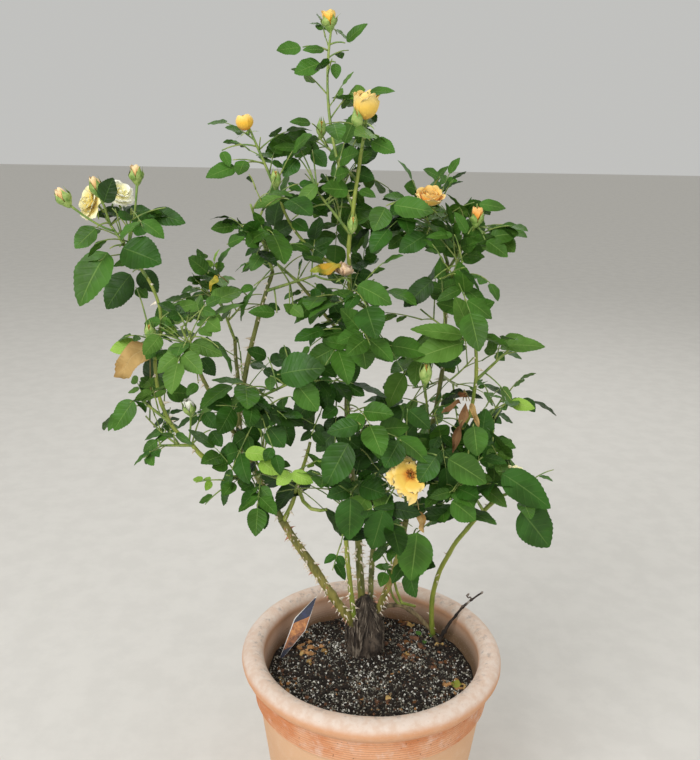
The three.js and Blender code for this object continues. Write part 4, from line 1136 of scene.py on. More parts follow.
singleLeaves = [
    # leaflets that stand out singly: mass, tone, foot, tip, width as a share of length
    ("left_cluster", "mid", (-298, -30, 811), (-330, -60, 755), 0.62),
    ("left_cluster", "deep", (-287, -30, 813), (-239, -50, 800), 0.75),
    ("left_cluster", "deep", (-287, 20, 777), (-320, 10, 736), 0.7),
    ("left_cluster", "dark", (-280, 20, 779), (-257, 10, 756), 0.7),
    ("left_cluster", "deep", (-260, -10, 848), (-217, -20, 841), 0.5),
    ("left_cluster", "deep", (-277, -20, 830), (-249, -30, 846), 0.8),
    ("left_cluster", "dark", (-294, -58, 861), (-282, -62, 888), 0.75),
    ("left_cluster", "mid", (-313, -20, 833), (-336, -30, 811), 0.7),
    ("right_end", "deep", (137, -60, 569), (196, -85, 537), 0.52),
    ("right_end", "deep", (165, -55, 521), (202, -70, 479), 0.8),
    ("centre_low", "deep", (-31, -100, 555), (-32, -108, 503), 0.68),
    ("centre_middle", "deep", (-33, -108, 622), (-59, -118, 572), 0.66),
    ("centre_front", "deep", (-112, -85, 687), (-62, -95, 700), 0.78),
    ("centre_front", "mid", (-92, -90, 679), (-67, -98, 651), 0.8),
    ("low_right", "mid", (47, -70, 500), (41, -80, 438), 0.66),
    ("big_bloom", "deep", (7, -85, 534), (-6, -90, 481), 0.6),
    ("right_low", "mid", (72, -90, 597), (119, -98, 571), 0.66),
    ("big_bloom", "deep", (21, -100, 620), (5, -106, 590), 0.8),
    ("big_bloom", "deep", (61, -102, 604), (42, -108, 574), 0.7),
    ("right_low", "mid", (80, -85, 544), (111, -92, 523), 0.8),
    ("centre_middle", "deep", (-22, -95, 635), (-58, -100, 628), 0.62),
    ("right_light", "light", (94, -50, 725), (31, -70, 736), 0.3),
    ("right_light", "light", (93, -50, 717), (34, -72, 705), 0.55),
    ("right_tip", "light", (138, -25, 708), (183, -40, 713), 0.42),
    ("right_middle", "fresh", (153, -10, 636), (182, -20, 632), 0.6),
    ("right_middle", "mid", (136, -20, 590), (160, -35, 589), 0.6),
    ("right_crown", "mid", (7, -30, 863), (51, -45, 858), 0.6),
    ("bloom_shoot", "mid", (-17, -30, 929), (9, -40, 918), 0.7),
    ("top_shoot", "mid", (-91, 25, 1024), (-118, 15, 1020), 0.7),
    ("top_shoot", "mid", (-70, 25, 1009), (-99, 15, 997), 0.65),
    ("yellow_bud", "mid", (-162, 10, 899), (-194, -10, 888), 0.62),
    ("lime", "fresh", (-150, -85, 597), (-118, -95, 598), 0.55),
    ("lime", "fresh", (-133, -85, 589), (-111, -95, 576), 0.7),
    ("lime", "fresh", (-97, -85, 575), (-113, -92, 562), 0.75),
    ("lime", "fresh", (-99, -85, 574), (-73, -92, 565), 0.6),
    ("far_left", "fresh", (-270, -35, 706), (-302, -42, 700), 0.6),
    ("top_shoot", "mid", (-45, 25, 1029), (-23, 15, 1049), 0.45),
    ("top_shoot", "mid", (-66, 25, 1022), (-90, 15, 1021), 0.5),
    ("top_shoot", "mid", (-55, 20, 1009), (-54, 10, 992), 0.6),
    ("bloom_shoot", "mid", (-20, -5, 978), (8, -15, 980), 0.45),
    ("right_crown", "mid", (61, 0, 891), (43, -10, 900), 0.6),
    ("right_high", "mid", (104, 0, 863), (134, -10, 860), 0.5),
    ("right_crown", "deep", (49, -10, 830), (18, -20, 811), 0.7),
    ("hanging", "dark", (58, -20, 782), (25, -30, 752), 0.5),
    ("left_inner", "dark", (-206, -20, 687), (-187, -30, 669), 0.7),
    ("spent_twig", "mid", (-118, -10, 738), (-149, -20, 742), 0.5),
    ("centre_front", "deep", (-127, -30, 691), (-149, -40, 702), 0.7),
    ("centre_front", "deep", (-108, -40, 708), (-105, -50, 691), 0.7),
    ("centre_middle", "deep", (-38, -60, 670), (-18, -70, 660), 0.7),
    ("centre_middle", "deep", (-47, -60, 644), (-64, -70, 633), 0.7),
    ("big_bloom", "deep", (31, -60, 642), (56, -70, 623), 0.7),
    ("left_inner", "mid", (-205, -40, 662), (-217, -50, 651), 0.7),
    ("left_drop", "deep", (-193, -40, 606), (-179, -50, 590), 0.7),
    ("left_drop", "mid", (-254, -40, 593), (-269, -50, 582), 0.6),
    ("far_left", "mid", (-282, 10, 761), (-267, 0, 751), 0.7),
    ("upper_heart", "deep", (-102, 10, 841), (-83, 0, 830), 0.7),
    ("left_shoulder", "mid", (-145, 0, 767), (-160, -10, 762), 0.6),
    ("centre_front", "mid", (-122, -60, 678), (-121, -70, 664), 0.7),
    ("right_high", "mid", (117, -10, 827), (148, -20, 835), 0.75),
    ("right_high", "mid", (112, -20, 826), (137, -30, 810), 0.6),
    ("centre_top", "mid", (-30, -40, 778), (11, -50, 760), 0.55),
    ("centre_top", "mid", (-28, -40, 765), (-55, -50, 771), 0.4),
    ("centre_top", "mid", (-23, -60, 730), (-44, -70, 757), 0.65),
    ("centre_top", "mid", (-22, -60, 733), (4, -70, 750), 0.6),
    ("right_light", "light", (100, -30, 725), (80, -40, 765), 0.55),
    ("right_light", "light", (103, -25, 725), (113, -35, 759), 0.5),
    ("hanging", "mid", (91, -20, 772), (61, -30, 760), 0.45),
    ("hanging", "mid", (92, -20, 772), (118, -30, 754), 0.5),
    ("left_high", "mid", (-163, 0, 834), (-190, -10, 832), 0.55),
    ("left_drop", "deep", (-200, -40, 628), (-185, -50, 612), 0.7),
    ("dark_high", "mid", (-81, 40, 945), (-105, 30, 948), 0.5),
    ("upper_heart", "deep", (-80, 20, 917), (-64, 10, 900), 0.7),
    ("upper_heart", "mid", (-28, 0, 876), (-9, -10, 870), 0.6),
    ("right_crown", "mid", (25, 10, 825), (7, 0, 812), 0.6),
    ("yellow_bud", "mid", (-179, 10, 915), (-169, 0, 899), 0.6),
    ("far_left_low", "mid", (-277, -40, 643), (-303, -50, 607), 0.55),
    ("upper_heart", "light", (-72, -10, 883), (-95, -20, 858), 0.5),
    ("upper_heart", "mid", (-37, 0, 875), (-68, -10, 878), 0.75),
    ("upper_heart", "light", (-111, 0, 870), (-143, -10, 856), 0.42),
    ("left_middle", "mid", (-200, 20, 777), (-219, 10, 797), 0.7),
    ("left_inner", "light", (-209, -60, 715), (-172, -70, 704), 0.5),
    ("right_crown", "mid", (3, -10, 860), (-11, -20, 834), 0.8),
    ("hanging", "mid", (78, -20, 831), (47, -30, 830), 0.35),
    ("right_high", "mid", (93, -20, 832), (76, -30, 856), 0.5),
    ("right_low", "mid", (104, -70, 629), (109, -80, 595), 0.75),
    ("right_low", "deep", (120, -50, 582), (146, -60, 580), 0.42),
    ("centre_low", "deep", (-23, -70, 554), (8, -80, 547), 0.85),
    ("centre_low", "deep", (-25, -60, 547), (-58, -70, 539), 0.6),
    ("right_low", "mid", (83, -80, 552), (57, -90, 549), 0.5),
    ("lime", "deep", (-125, -60, 619), (-106, -70, 598), 0.8),
    ("centre_low", "dark", (10, -70, 526), (49, -80, 524), 0.5),
    ("right_low", "dark", (87, -60, 515), (50, -70, 515), 0.4),
    ("upper_heart", "mid", (-95, 20, 919), (-122, 10, 920), 0.45),
    ("upper_heart", "deep", (-95, 20, 908), (-112, 10, 889), 0.75),
    ("left_high", "mid", (-133, -10, 806), (-147, -20, 788), 0.7),
    ("spent_twig", "mid", (-130, -10, 803), (-112, -20, 802), 0.7),
    ("centre_front", "light", (-149, -60, 663), (-164, -70, 647), 0.45),
    ("centre_top", "mid", (-35, -60, 713), (-64, -70, 722), 0.5),
    ("spent_twig", "light", (-103, -20, 749), (-87, -30, 739), 0.7),
    ("spent_twig", "light", (-98, -20, 740), (-108, -30, 752), 0.7),
    ("left_high", "mid", (-174, -5, 814), (-152, -15, 825), 0.6),
    ("centre_top", "mid", (-23, -60, 720), (-16, -70, 690), 0.95),
    ("centre_top", "mid", (-8, -50, 718), (14, -60, 710), 0.6),
    ("lime", "deep", (-135, -30, 595), (-159, -40, 605), 0.7),
    ("centre_top", "mid", (-33, -40, 760), (-48, -50, 773), 0.6),
]

flowers = [
    # mass, kind, place, axis, length, radius, share of the stem, petal tone, how far it is open
    ("top_shoot", "bud", (-63, 30, 1053), (-0.12, 0, 1), 17, 9, 1, "yellow", 0.75),
    ("yellow_bud", "globe", (-155, 20, 946), (-0.3, 0, 1), 24, 12.5, 1, "yellow", 0.5),
    ("yellow_bud", "green", (-120, 12, 886), (-0.1, 0, 1), 18, 6, 0.2, "yellow", 0.0),
    ("bloom_shoot", "goblet", (-23, -10, 962), (0.05, -0.2, 1), 30, 14, 1, "honey", 0.6),
    ("bloom_shoot", "green", (-31, -20, 950), (-0.2, -0.1, 1), 16, 6.5, 0.5, "yellow", 0.0),
    ("dark_high", "green", (-72, 84, 940), (0, 0, 1), 18, 6.5, 1, "yellow", 0.0),
    ("upper_heart", "green", (-34, -22, 841), (0.05, 0, 1), 17, 6, 0.1, "yellow", 0.0),
    ("left_cluster", "bud", (-345, -30, 866), (-0.5, 0, 0.8), 18, 9, 0.8, "blush", 0.4),
    ("left_cluster", "bud", (-307, -36, 878), (-0.3, -0.2, 1), 19, 8, 0.9, "blush", 0.4),
    ("left_cluster", "bud", (-270, -10, 890), (-0.1, 0, 1), 17, 8.6, 0.5, "blush", 0.5),
    ("left_cluster", "open", (-326, -8, 860), (-0.7, -0.6, 0.35), 24, 18, 1, "butter", 1.0),
    ("left_cluster", "open", (-293, 12, 870), (0.55, -0.5, 0.6), 22, 15.5, 1, "pale", 1.0),
    ("right_crown", "half", (51, 0, 868), (0.05, -0.45, 1), 21, 12.5, 0.95, "apricot", 0.8),
    ("right_high", "bud", (104, -4, 850), (0.1, 0, 1), 18, 8.2, 1, "orange", 0.65),
    ("big_bloom", "ragged", (34, -106, 584), (0.1, -0.75, 0.6), 20, 20.5, 0.8, "gold", 1.0),
    ("far_left", "green", (-255, -46, 722), (-0.1, 0, 1), 19, 6.5, 0.9, "yellow", 0.0),
    ("green_bud", "green", (49, -62, 685), (0, 0, 1), 22, 7.5, 1, "yellow", 0.0),
    ("left_drop", "bud", (-214, -52, 638), (-0.1, -0.3, 1), 18, 8, 0.15, "white", 0.5),
    ("spent_twig", "spent", (-42, -12, 791), (0.1, -0.2, 1), 23, 12.2, 1, "dried", 0.8),
]

openings = [
    # where the crown is open and light shows through, seen from the front: x and z at y 0, and radius
    (237, 480, 18), (230, 547, 18), (178, 581, 15), (186, 642, 15), (151, 680, 11), (170, 827, 16),
    (13, 966, 11), (26, 979, 9), (-45, 1024, 9), (-173, 945, 9), (-133, 944, 7), (-331, 899, 12),
    (-323, 886, 7), (-212, 810, 8), (-190, 822, 8), (-175, 794, 8), (-229, 518, 11), (-216, 488, 11),
    (-198, 504, 9), (-77, 519, 11), (-61, 402, 16), (-54, 375, 17), (-48, 346, 13), (-92, 708, 8),
    (-75, 703, 7), (-111, 725, 9), (9, 792, 8), (100, 791, 7), (139, 483, 8), (28, 466, 8), (22, 448, 8),
    (-93, 889, 8), (-115, 908, 7), (-302, 787, 7), (-271, 817, 6), (-301, 661, 9), (25, 704, 8),
    (17, 761, 7), (51, 756, 6), (137, 653, 7), (158, 503, 8), (78, 730, 6), (74, 666, 6), (-115, 477, 6),
    (-99, 446, 8), (-160, 794, 6), (130, 765, 7), (-39, 946, 6), (-45, 1010, 7), (-29, 1015, 7),
    (200, 623, 10), (188, 824, 9), (227, 455, 14), (37, 469, 11), (29, 449, 9), (-95, 587, 8),
    (-81, 511, 7), (-73, 529, 7), (20, 761, 7), (-85, 423, 9), (-73, 404, 9), (-46, 412, 6), (-216, 518, 8),
    (-312, 775, 7), (-325, 886, 6), (1, 962, 7), (-153, 807, 6), (57, 464, 18), (-1, 657, 13),
    (54, 668, 11), (46, 638, 11), (-91, 508, 11), (-71, 491, 12), (-85, 561, 10), (-120, 730, 11),
    (-87, 721, 9), (19, 705, 9), (30, 705, 9), (78, 665, 10), (-35, 896, 10), (-43, 943, 7), (103, 613, 8),
    (-82, 852, 7), (-223, 779, 7), (-192, 638, 8), (-12, 785, 6), (-130, 776, 6), (55, 760, 6),
    (-104, 453, 7), (-75, 407, 8), (-120, 582, 19), (-6, 672, 19), (39, 644, 19), (132, 607, 10),
    (-109, 732, 11), (-83, 791, 9), (111, 622, 9),
]
eye = vec(*cameraLook["place"]) * 1000
# how nearly edge on a leaflet of the rule may be, the spots along it that are tested, and how many of
# them may touch a sight line before it goes; then the room kept about a single leaf, as a share of its
# length, and about a bloom in millimetres
sightLook = {"edgeOn": 0.2, "spots": (0.2, 0.55, 0.9), "hitsLeaf": 2, "hitsBloom": 1, "leafRoom": 0.34,
             "bloomRoom": 3}


def sightLines():
    # leaves of the rule make room for the openings, the single leaves and the blooms behind them:
    # each line's way, radius and length, and the hits at which a leaflet goes
    look = sightLook
    lines = [(vec(x, 0, z) - eye, radius, False, look["hitsLeaf"]) for x, z, radius in openings]
    for _, _, foot, tip, _ in singleLeaves:
        foot, tip = vec(*foot), vec(*tip)
        lines.append(((foot + tip) / 2 - eye, look["leafRoom"] * length(tip - foot), True, look["hitsLeaf"]))
    for _, kind, at, _, _, radius, *_ in flowers:
        room = 0 if kind == "green" else look["bloomRoom"]
        lines.append((vec(*at) - eye, radius + room, True, look["hitsBloom"]))
    return [(unit(way), radius, length(way) if ends else math.inf, least)
            for way, radius, ends, least in lines]


def standsInTheWay(leaflet, lines):
    middle = leaflet["foot"] + leaflet["ahead"] * leaflet["long"] / 2 - eye
    if abs(float(unit(middle) @ leaflet["face"])) < sightLook["edgeOn"]:
        # leaves turn their faces to the light, so few are seen edge on
        return True
    spots = [leaflet["foot"] + leaflet["ahead"] * leaflet["long"] * share - eye
             for share in sightLook["spots"]]
    for way, radius, depth, least in lines:
        alongs = [float(spot @ way) for spot in spots]
        hits = sum(along < depth and length(spot - way * along) < radius
                   for spot, along in zip(spots, alongs))
        if hits >= least:
            return True
    return False


toneLook = {
    # blade, midrib, paler drift, gloss
    "deep": ("#27480f", "#6b8a43", "#335f1a", 0.40),
    "mid": ("#375a17", "#84a44f", "#467324", 0.42),
    "dark": ("#1e370b", "#587a34", "#294a14", 0.42),
    "light": ("#476b20", "#8ca856", "#598030", 0.44),
    "fresh": ("#7da437", "#bcd277", "#95bb4c", 0.46),
    "yellowing": ("#c99d2e", "#e2c468", "#98a03c", 0.5),
    "dried": ("#94733f", "#cdb17c", "#bf9f66", 0.75),
    "russet": ("#7b5a3b", "#a98a64", "#94704c", 0.8),
    "brown": ("#5e3c22", "#94704a", "#7f5632", 0.8),
    "olive": ("#7d8a35", "#b8b25c", "#b0a046", 0.5),
}


toneShares = {
    # the tones dealt to the sprays of a mass, with the share of sprays up to which each holds
    "deep": (("deep", 0.58), ("mid", 0.82), ("dark", 0.97), ("light", 1)),
    "mid": (("mid", 0.56), ("deep", 0.82), ("light", 0.92), ("dark", 1)),
    "light": (("light", 0.38), ("mid", 0.80), ("deep", 0.97), ("fresh", 1)),
    "lime": (("deep", 0.42), ("mid", 0.66), ("fresh", 0.84), ("light", 1)),
}


def dealTone(kind, draw):
    return next(tone for tone, share in toneShares[kind] if draw <= share)


twigLook = {
    # radii at the foot and the tip, in millimetres
    "stem": (1.9, 1.2), "sideTwig": (1.3, 0.9), "twiglet": (0.85, 0.6), "spray": (1.0, 0.55),
    "leaflet": (0.55, 0.45), "singleLeaf": (1.1, 0.7),
    # how much a shoot swells at its buds; a flower's stalk: radius at its foot, how much it narrows, and
    # how much it swells under the flower
    "swell": 0.12, "flowerStalk": (1.35, 0.3, 0.8)}


def growFoliage(tones, stalks, greenTwigs):
    look = twigLook
    lines = sightLines()
    for number, (name, one) in enumerate(masses.items()):
        grown = growMass(one)
        one["stem"] = grown["stem"]
        shade = dealer(3000 + number)
        ts = np.linspace(0, 1, 14)
        knots = 1 + look["swell"] * np.abs(np.sin(ts * 9 + number))[:, None] * np.ones((1, 7))
        for shoot in grown["shoots"]:
            foot, tip = look["stem" if shoot is grown["stem"] else "sideTwig"]
            tube(greenTwigs, pointsOn(shoot, 14), foot + (tip - foot) * ts, 7, lumps=knots)
        twiglets = finerLeaves(one, grown)
        for twig, _ in twiglets:
            tube(greenTwigs, pointsOn(twig, 6), np.linspace(*look["twiglet"], 6), 5)
        for leaf in grown["leaves"] + [extra[1] for extra in twiglets]:
            tone = dealTone(one["tone"], shade())
            kept = [leaflet for leaflet in leaf["leaflets"] if not standsInTheWay(leaflet, lines)]
            if not kept:
                continue
            tube(stalks, leaf["stalk"], np.linspace(*look["spray"], len(leaf["stalk"])), 5)
            for leaflet in kept:
                own = leaflet["foot"] + leaflet["ahead"] * leaflet["long"] * leafLook["ownStalk"] * 1.3
                tube(stalks, [leaflet["foot"], own], look["leaflet"], 4, closeEnds=False)
                addLeaflet(tones[tone], leaflet, shade)


def addSingleLeaves(tones, stalks):
    deal = dealer(4001)
    for name, tone, foot, tip, wide in singleLeaves:
        foot = vec(*foot)
        leaflet = leafBetween(foot, vec(*tip), vec(0.3 * (deal() - 0.5), -0.75, 0.6))
        # its stalk leaves the stem where that is near, and rather from the same height
        start = min(pointsOn(masses[name]["stem"], 30, 0.03, 0.97),
                    key=lambda point: length(point - foot) + 0.3 * abs(float(point[2] - foot[2])))
        stalk = makePath(start, foot, up * 0.1 * length(foot - start))
        tube(stalks, pointsOn(stalk, 8), np.linspace(*twigLook["singleLeaf"], 8), 6)
        addLeaflet(tones[tone], leaflet, deal, wide=wide / leafLook["width"])


def makeLeaves():
    tones = {name: Bunch() for name in toneLook}
    stalks, greenTwigs = Bunch(), Bunch()
    growFoliage(tones, stalks, greenTwigs)
    addSingleLeaves(tones, stalks)
    nodes = ["leaves_" + name for name in masses]
    # Green shoots and leaf stalks: waxy and satin, with a reddish tint where the sun reaches them
    twigGreen = mottled("green twigs", "#64823a", "#93a44e", 10, 0.45, 0.06, (1, 1, 0.4), "#a06a45")
    makePiece("green_twigs", greenTwigs, twigGreen, nodes)
    stalkGreen = mottled("leaf stalks", "#5f8038", "#93a253", 12, 0.5, 0.04, speck="#8d5a3c")
    makePiece("leaf_stalks", stalks, stalkGreen)
    return tones


tones = makeLeaves()
print("twigs and leaf stalks made")


# Buds and blooms

petalLook = {
    # petal, rim, foot
    "yellow": ("#fdc542", "#ffdd83", "#f2a234"),
    "apricot": ("#ffc645", "#ffe08e", "#fba236"),
    "honey": ("#ffd25e", "#ffe292", "#f8b444"),
    "orange": ("#f5a747", "#fbc67c", "#e2842c"),
    "blush": ("#f4c480", "#f9dfae", "#e8a85c"),
    "pale": ("#fffac2", "#fffef2", "#fdeb98"),
    "butter": ("#ffee9a", "#fff9cf", "#fcdc76"),
    "gold": ("#f6cd5c", "#f9dd8c", "#eba03a"),
    "dried": ("#d6ad86", "#ecd1b0", "#b3845a"),
    "white": ("#e2e2d0", "#f2f2e6", "#c2c89c"),
}
petalBunches = {name: Bunch() for name in petalLook}
sepalBunch, anthers, flowerStalks = Bunch(), Bunch(), Bunch()


def flowerAxes(axis):
    axis = unit(vec(*axis))
    one = unit(cross(axis, vec(0.3, 1, 0.1)))
    return np.stack([one, cross(axis, one), axis])


def bentBlade(look, rows):
    # a petal or sepal leaves its foot at one slope and bends to another on its way to the rim, which may
    # roll: shares of its length, slopes, distances from the axis and heights
    v = np.linspace(0, 1, rows)
    slope = look["slope"] + (look["flare"] - look["slope"]) * v ** look["bend"] + look["roll"] * v ** 7
    step = look["long"] / (rows - 1)
    out = look["foot"] + np.concatenate([[0], np.cumsum(np.sin(slope[1:]) * step)])
    high = look["rise"] + np.concatenate([[0], np.cumsum(np.cos(slope[1:]) * step)])
    return v, slope, out, high


budLook = {
    # petals: how many, their slopes at the foot and at the rim, how far an open bud bends the rim out,
    # and, as shares of its radius, their width, cup and lap; the rims' ruffle when shut and when open
    "petals": 7, "slope": 0.75, "shut": -0.75, "opens": 0.9, "wide": 2.3, "cup": 0.75, "lap": 0.10,
    "ruffle": (0.02, 0.05),
    # sepals: their reach on a shut bud, the bud's swell at shares of their length, and their half widths
    # at shares of it, on a shut and on an opening bud
    "shutReach": 1.12, "swellAt": (0, 0.12, 0.4, 0.72, 1), "swell": (0.72, 0.9, 1.05, 0.7, 0.42),
    "halfWidth": 0.66, "widthAt": (0, 0.3, 0.55, 0.8, 1), "shutWidths": (0.9, 1, 0.85, 0.3, 0.03),
    "openWidths": (0.9, 0.9, 0.62, 0.2, 0.02)}


def addPetal(bunch, base, axes, angle, look, deal):
    rows, columns = 9, 9
    v, slope, out, high = bentBlade(look, rows)
    half = look["wide"] / 2 * np.sqrt(np.clip(v + 0.06, 0, 1)) * np.sqrt(1 - 0.85 * v ** 7)
    u = np.linspace(-1, 1, columns)
    phase = deal() * fullTurn
    ruffle = look["ruffle"] * look["long"]
    grid = []
    for i in range(rows):
        # the petal wraps round the axis by its half width over the radius it lies at
        wrap = half[i] / max(look["cup"], abs(out[i]) + 0.5)
        for s in u:
            turn = angle + s * wrap
            wave = math.sin(3.1 * s + phase) + 0.5 * math.sin(7 * s + phase * 2)
            push = ruffle * v[i] ** 2 * wave * abs(s)
            torn = 0.5 + 0.5 * math.sin(4.1 * s + phase) * math.cos(6.5 * s - phase)
            kept = 1 - look["tear"] * v[i] ** 3 * torn
            radial = (out[i] + look["lap"] * s + push * math.cos(slope[i])) * kept
            lift = high[i] - push * math.sin(slope[i]) - 0.10 * look["long"] * v[i] * s * s
            grid.append([radial * math.cos(turn), radial * math.sin(turn), lift])
    uv = np.stack([np.tile((u + 1) / 2, rows), np.repeat(v, columns)], -1)
    bunch.add(base + np.array(grid) @ axes, gridQuads(rows, columns), uvs=uv)


def addCup(base, axes, radius, tall, profile, tris=None):
    # the green cup under a flower, ten-sided: distances and heights as shares of the radius
    ring = [[r * radius * math.cos(a), r * radius * math.sin(a), h * radius * tall]
            for r, h in profile for a in np.arange(10) * math.pi / 5]
    sepalBunch.add(base + np.array(ring) @ axes, gridQuads(4, 10, wrap=True), tris)


def addSepals(base, axes, radius, long, gape, deal):
    # under a bloom five pointed green sepals stand away
    ends = [[0, 2, 1], [0, 4, 2], [0, 6, 4], [0, 8, 6], [30, 31, 32], [30, 32, 34], [30, 34, 36],
            [30, 36, 38]]
    addCup(base, axes, radius, 1.6, ((0.10, -0.30), (0.42, -0.18), (0.5, 0.0), (0.40, 0.10)), ends)
    for k in range(5):
        angle = k * 2 * math.pi / 5 + deal() * 0.3
        look = {"slope": 0.55 + gape * 1.1, "flare": -0.25 + gape * (2.2 + 0.5 * deal()), "bend": 0.8,
                "roll": 0, "foot": radius * 0.36, "rise": radius * 0.05,
                "long": long * (0.95 + 0.25 * deal())}
        v, _, out, high = bentBlade(look, 8)
        half = radius * 0.34 * np.sin(np.pi * (0.25 + 0.75 * v)) ** 0.7
        half[-1] = 0.05
        grid = []
        for i in range(8):
            for s in (-1, -0.5, 0, 0.5, 1):
                turn = angle + s * half[i] / max(2.0, out[i])
                rib = 0.25 * (1 - abs(s))
                grid.append([out[i] * math.cos(turn) + rib * math.cos(angle),
                             out[i] * math.sin(turn) + rib * math.sin(angle), high[i]])
        sepalBunch.add(base + np.array(grid) @ axes, gridQuads(8, 5))


def addHuggingSepals(base, axes, radius, long, gape, deal):
    # on a bud the sepals lie on its swollen sides and part towards the tip, each drawn out to a thread
    look = budLook
    rows = 10
    v = np.linspace(0, 1, rows)
    half = look["halfWidth"] * np.interp(v, look["widthAt"], look["openWidths" if gape else "shutWidths"])
    for k in range(5):
        angle = k * 2 * math.pi / 5 + deal() * 0.2
        flare = (0.15 + 0.9 * deal()) * gape
        reach = long * (0.9 + 0.3 * deal())
        out = radius * (np.interp(v, look["swellAt"], look["swell"]) + flare * v ** 3)
        grid = []
        for i in range(rows):
            for s in (-1, -0.5, 0, 0.5, 1):
                turn = angle + s * half[i]
                r = out[i] + 0.03 * radius * (1 - abs(s))
                grid.append([r * math.cos(turn), r * math.sin(turn), reach * v[i] + 0.2 * radius])
        sepalBunch.add(base + np.array(grid) @ axes, gridQuads(rows, 5))
    addCup(base, axes, radius, 1.0, ((0.15, -0.6), (0.36, -0.38), (0.6, -0.05), (0.74, 0.26)))


def addBud(at, axis, long, radius, tone, openness, seed):
    deal = dealer(seed)
    axes = flowerAxes(axis)
    base = vec(*at) - axes[2] * long / 2
    bud = budLook
    for k in range(bud["petals"]):
        layer = k / bud["petals"]
        look = {"slope": bud["slope"], "flare": bud["shut"] + openness * bud["opens"], "bend": 0.8, "roll": 0,
                "foot": radius * 0.25 * (1 - 0.4 * layer), "rise": long * 0.04, "tear": 0,
                "long": long * (1.08 - 0.10 * layer), "wide": radius * bud["wide"],
                "cup": radius * bud["cup"], "lap": radius * bud["lap"],
                "ruffle": bud["ruffle"][0] + bud["ruffle"][1] * openness}
        addPetal(petalBunches[tone], base, axes, k * goldenTurn, look, deal)
    reach = 1.0 - 0.5 * openness if openness else bud["shutReach"]
    addHuggingSepals(base, axes, radius, long * reach, openness * 2.0, deal)


# the way in which heavy petals hang, how unevenly a ring's petals are set and bent, and by how many
# radians each ring is turned from the one outside it
bloomLook = {"hangs": (-0.7, 0, -0.8), "unevenTurn": 0.25, "unevenFlare": 0.35, "ringTurn": 0.7}


def addBloom(at, axis, long, radius, tone, seed, kind):
    deal = dealer(seed)
    axes = flowerAxes(axis)
    hangs = axes @ vec(*bloomLook["hangs"])
    downTurn = math.atan2(hangs[1], hangs[0])
    base = vec(*at) - axes[2] * long / 2
    angle = deal() * fullTurn
    for count, slope, flare, reach, cup, bend, roll in kind["rings"]:
        for _ in range(count):
            angle += 2 * math.pi / count + (deal() - 0.5) * bloomLook["unevenTurn"]
            own = reach * (1 + kind["lean"] * math.cos(angle - downTurn))
            look = {"slope": slope, "flare": flare + (deal() - 0.5) * bloomLook["unevenFlare"],
                    "bend": bend, "roll": roll, "foot": radius * 0.10, "rise": long * 0.10,
                    "long": radius * own * (0.92 + 0.16 * deal()),
                    "wide": radius * (kind["broad"] if reach > 0.8 else 1.0) * (0.9 + 0.25 * deal()),
                    "cup": radius * cup, "lap": radius * 0.06,
                    "ruffle": kind["ruffle"] * (0.7 + 0.6 * deal()), "tear": kind["tear"]}
            addPetal(petalBunches[tone], base, axes, angle, look, deal)
        angle += bloomLook["ringTurn"]
    addSepals(base, axes, radius * 0.42, radius * 0.95, 0.9, deal)
    for _ in range(kind.get("anthers", 0)):
        turn, out = deal() * fullTurn, radius * (0.08 + 0.2 * deal())
        foot = base + vec(out * 0.5 * math.cos(turn), out * 0.5 * math.sin(turn), long * 0.12) @ axes
        head = base + vec(out * math.cos(turn), out * math.sin(turn), long * (0.28 + 0.16 * deal())) @ axes
        tube(anthers, [foot, (foot + head) / 2, head], [0.25, 0.25, 0.7], 4)


bloomKinds = {
    # how torn and ruffled the rims are, how broad the petals, how much longer they hang at the lower side;
    # rings: petals, slope at the foot and at the rim, length, cup, where the petal bends, roll of its rim
    "half": {"tear": 0.02, "ruffle": 0.04, "broad": 2.3, "lean": 0,
             "rings": [(5, 1.4, 0.15, 1.85, 0.8, 0.8, 0.6), (5, 1.25, 0.05, 1.7, 0.75, 0.8, 0.3),
                       (4, 1.0, -0.1, 1.5, 0.6, 0.8, 0.1), (3, 0.7, -0.2, 1.3, 0.4, 0.8, 0)]},
    "goblet": {"tear": 0.03, "ruffle": 0.035, "broad": 2.1, "lean": 0,
               "rings": [(5, 1.5, -0.4, 2.3, 0.8, 0.75, 0.8), (5, 1.4, -0.45, 2.2, 0.75, 0.75, 0.35),
                         (4, 1.15, -0.5, 2.1, 0.6, 0.75, 0.1), (4, 0.85, -0.5, 1.95, 0.4, 0.75, 0)]},
    "globe": {"tear": 0.02, "ruffle": 0.03, "broad": 1.7, "lean": 0,
              "rings": [(5, 1.3, -0.5, 1.6, 0.75, 1.2, 0), (5, 1.2, -0.5, 1.5, 0.7, 1.2, 0),
                        (4, 0.9, -0.6, 1.3, 0.5, 1.2, 0)]},
    "open": {"tear": 0.08, "ruffle": 0.09, "broad": 1.6, "lean": 0,
             "rings": [(5, 1.1, 1.7, 1.2, 0.6, 1.2, 0), (5, 0.85, 1.25, 1.1, 0.55, 1.2, 0),
                       (4, 0.6, 0.8, 0.95, 0.5, 1.2, 0), (3, 0.3, 0.1, 0.75, 0.4, 1.2, 0)]},
    "spent": {"tear": 0.45, "ruffle": 0.2, "broad": 1.5, "lean": 0,
              "rings": [(5, 1.2, 0.5, 1.35, 0.6, 0.9, -1.5), (5, 0.9, 0.2, 1.3, 0.5, 0.9, -1.0),
                        (4, 0.6, 0.1, 1.2, 0.4, 1.0, 0.8)]},
    "ragged": {"tear": 0.32, "ruffle": 0.07, "broad": 1.5, "lean": 0.34, "anthers": 46,
               "rings": [(5, 1.3, 1.5, 1.15, 0.8, 1.2, 0), (5, 1.15, 1.35, 1.0, 0.8, 1.2, 0)]},
}


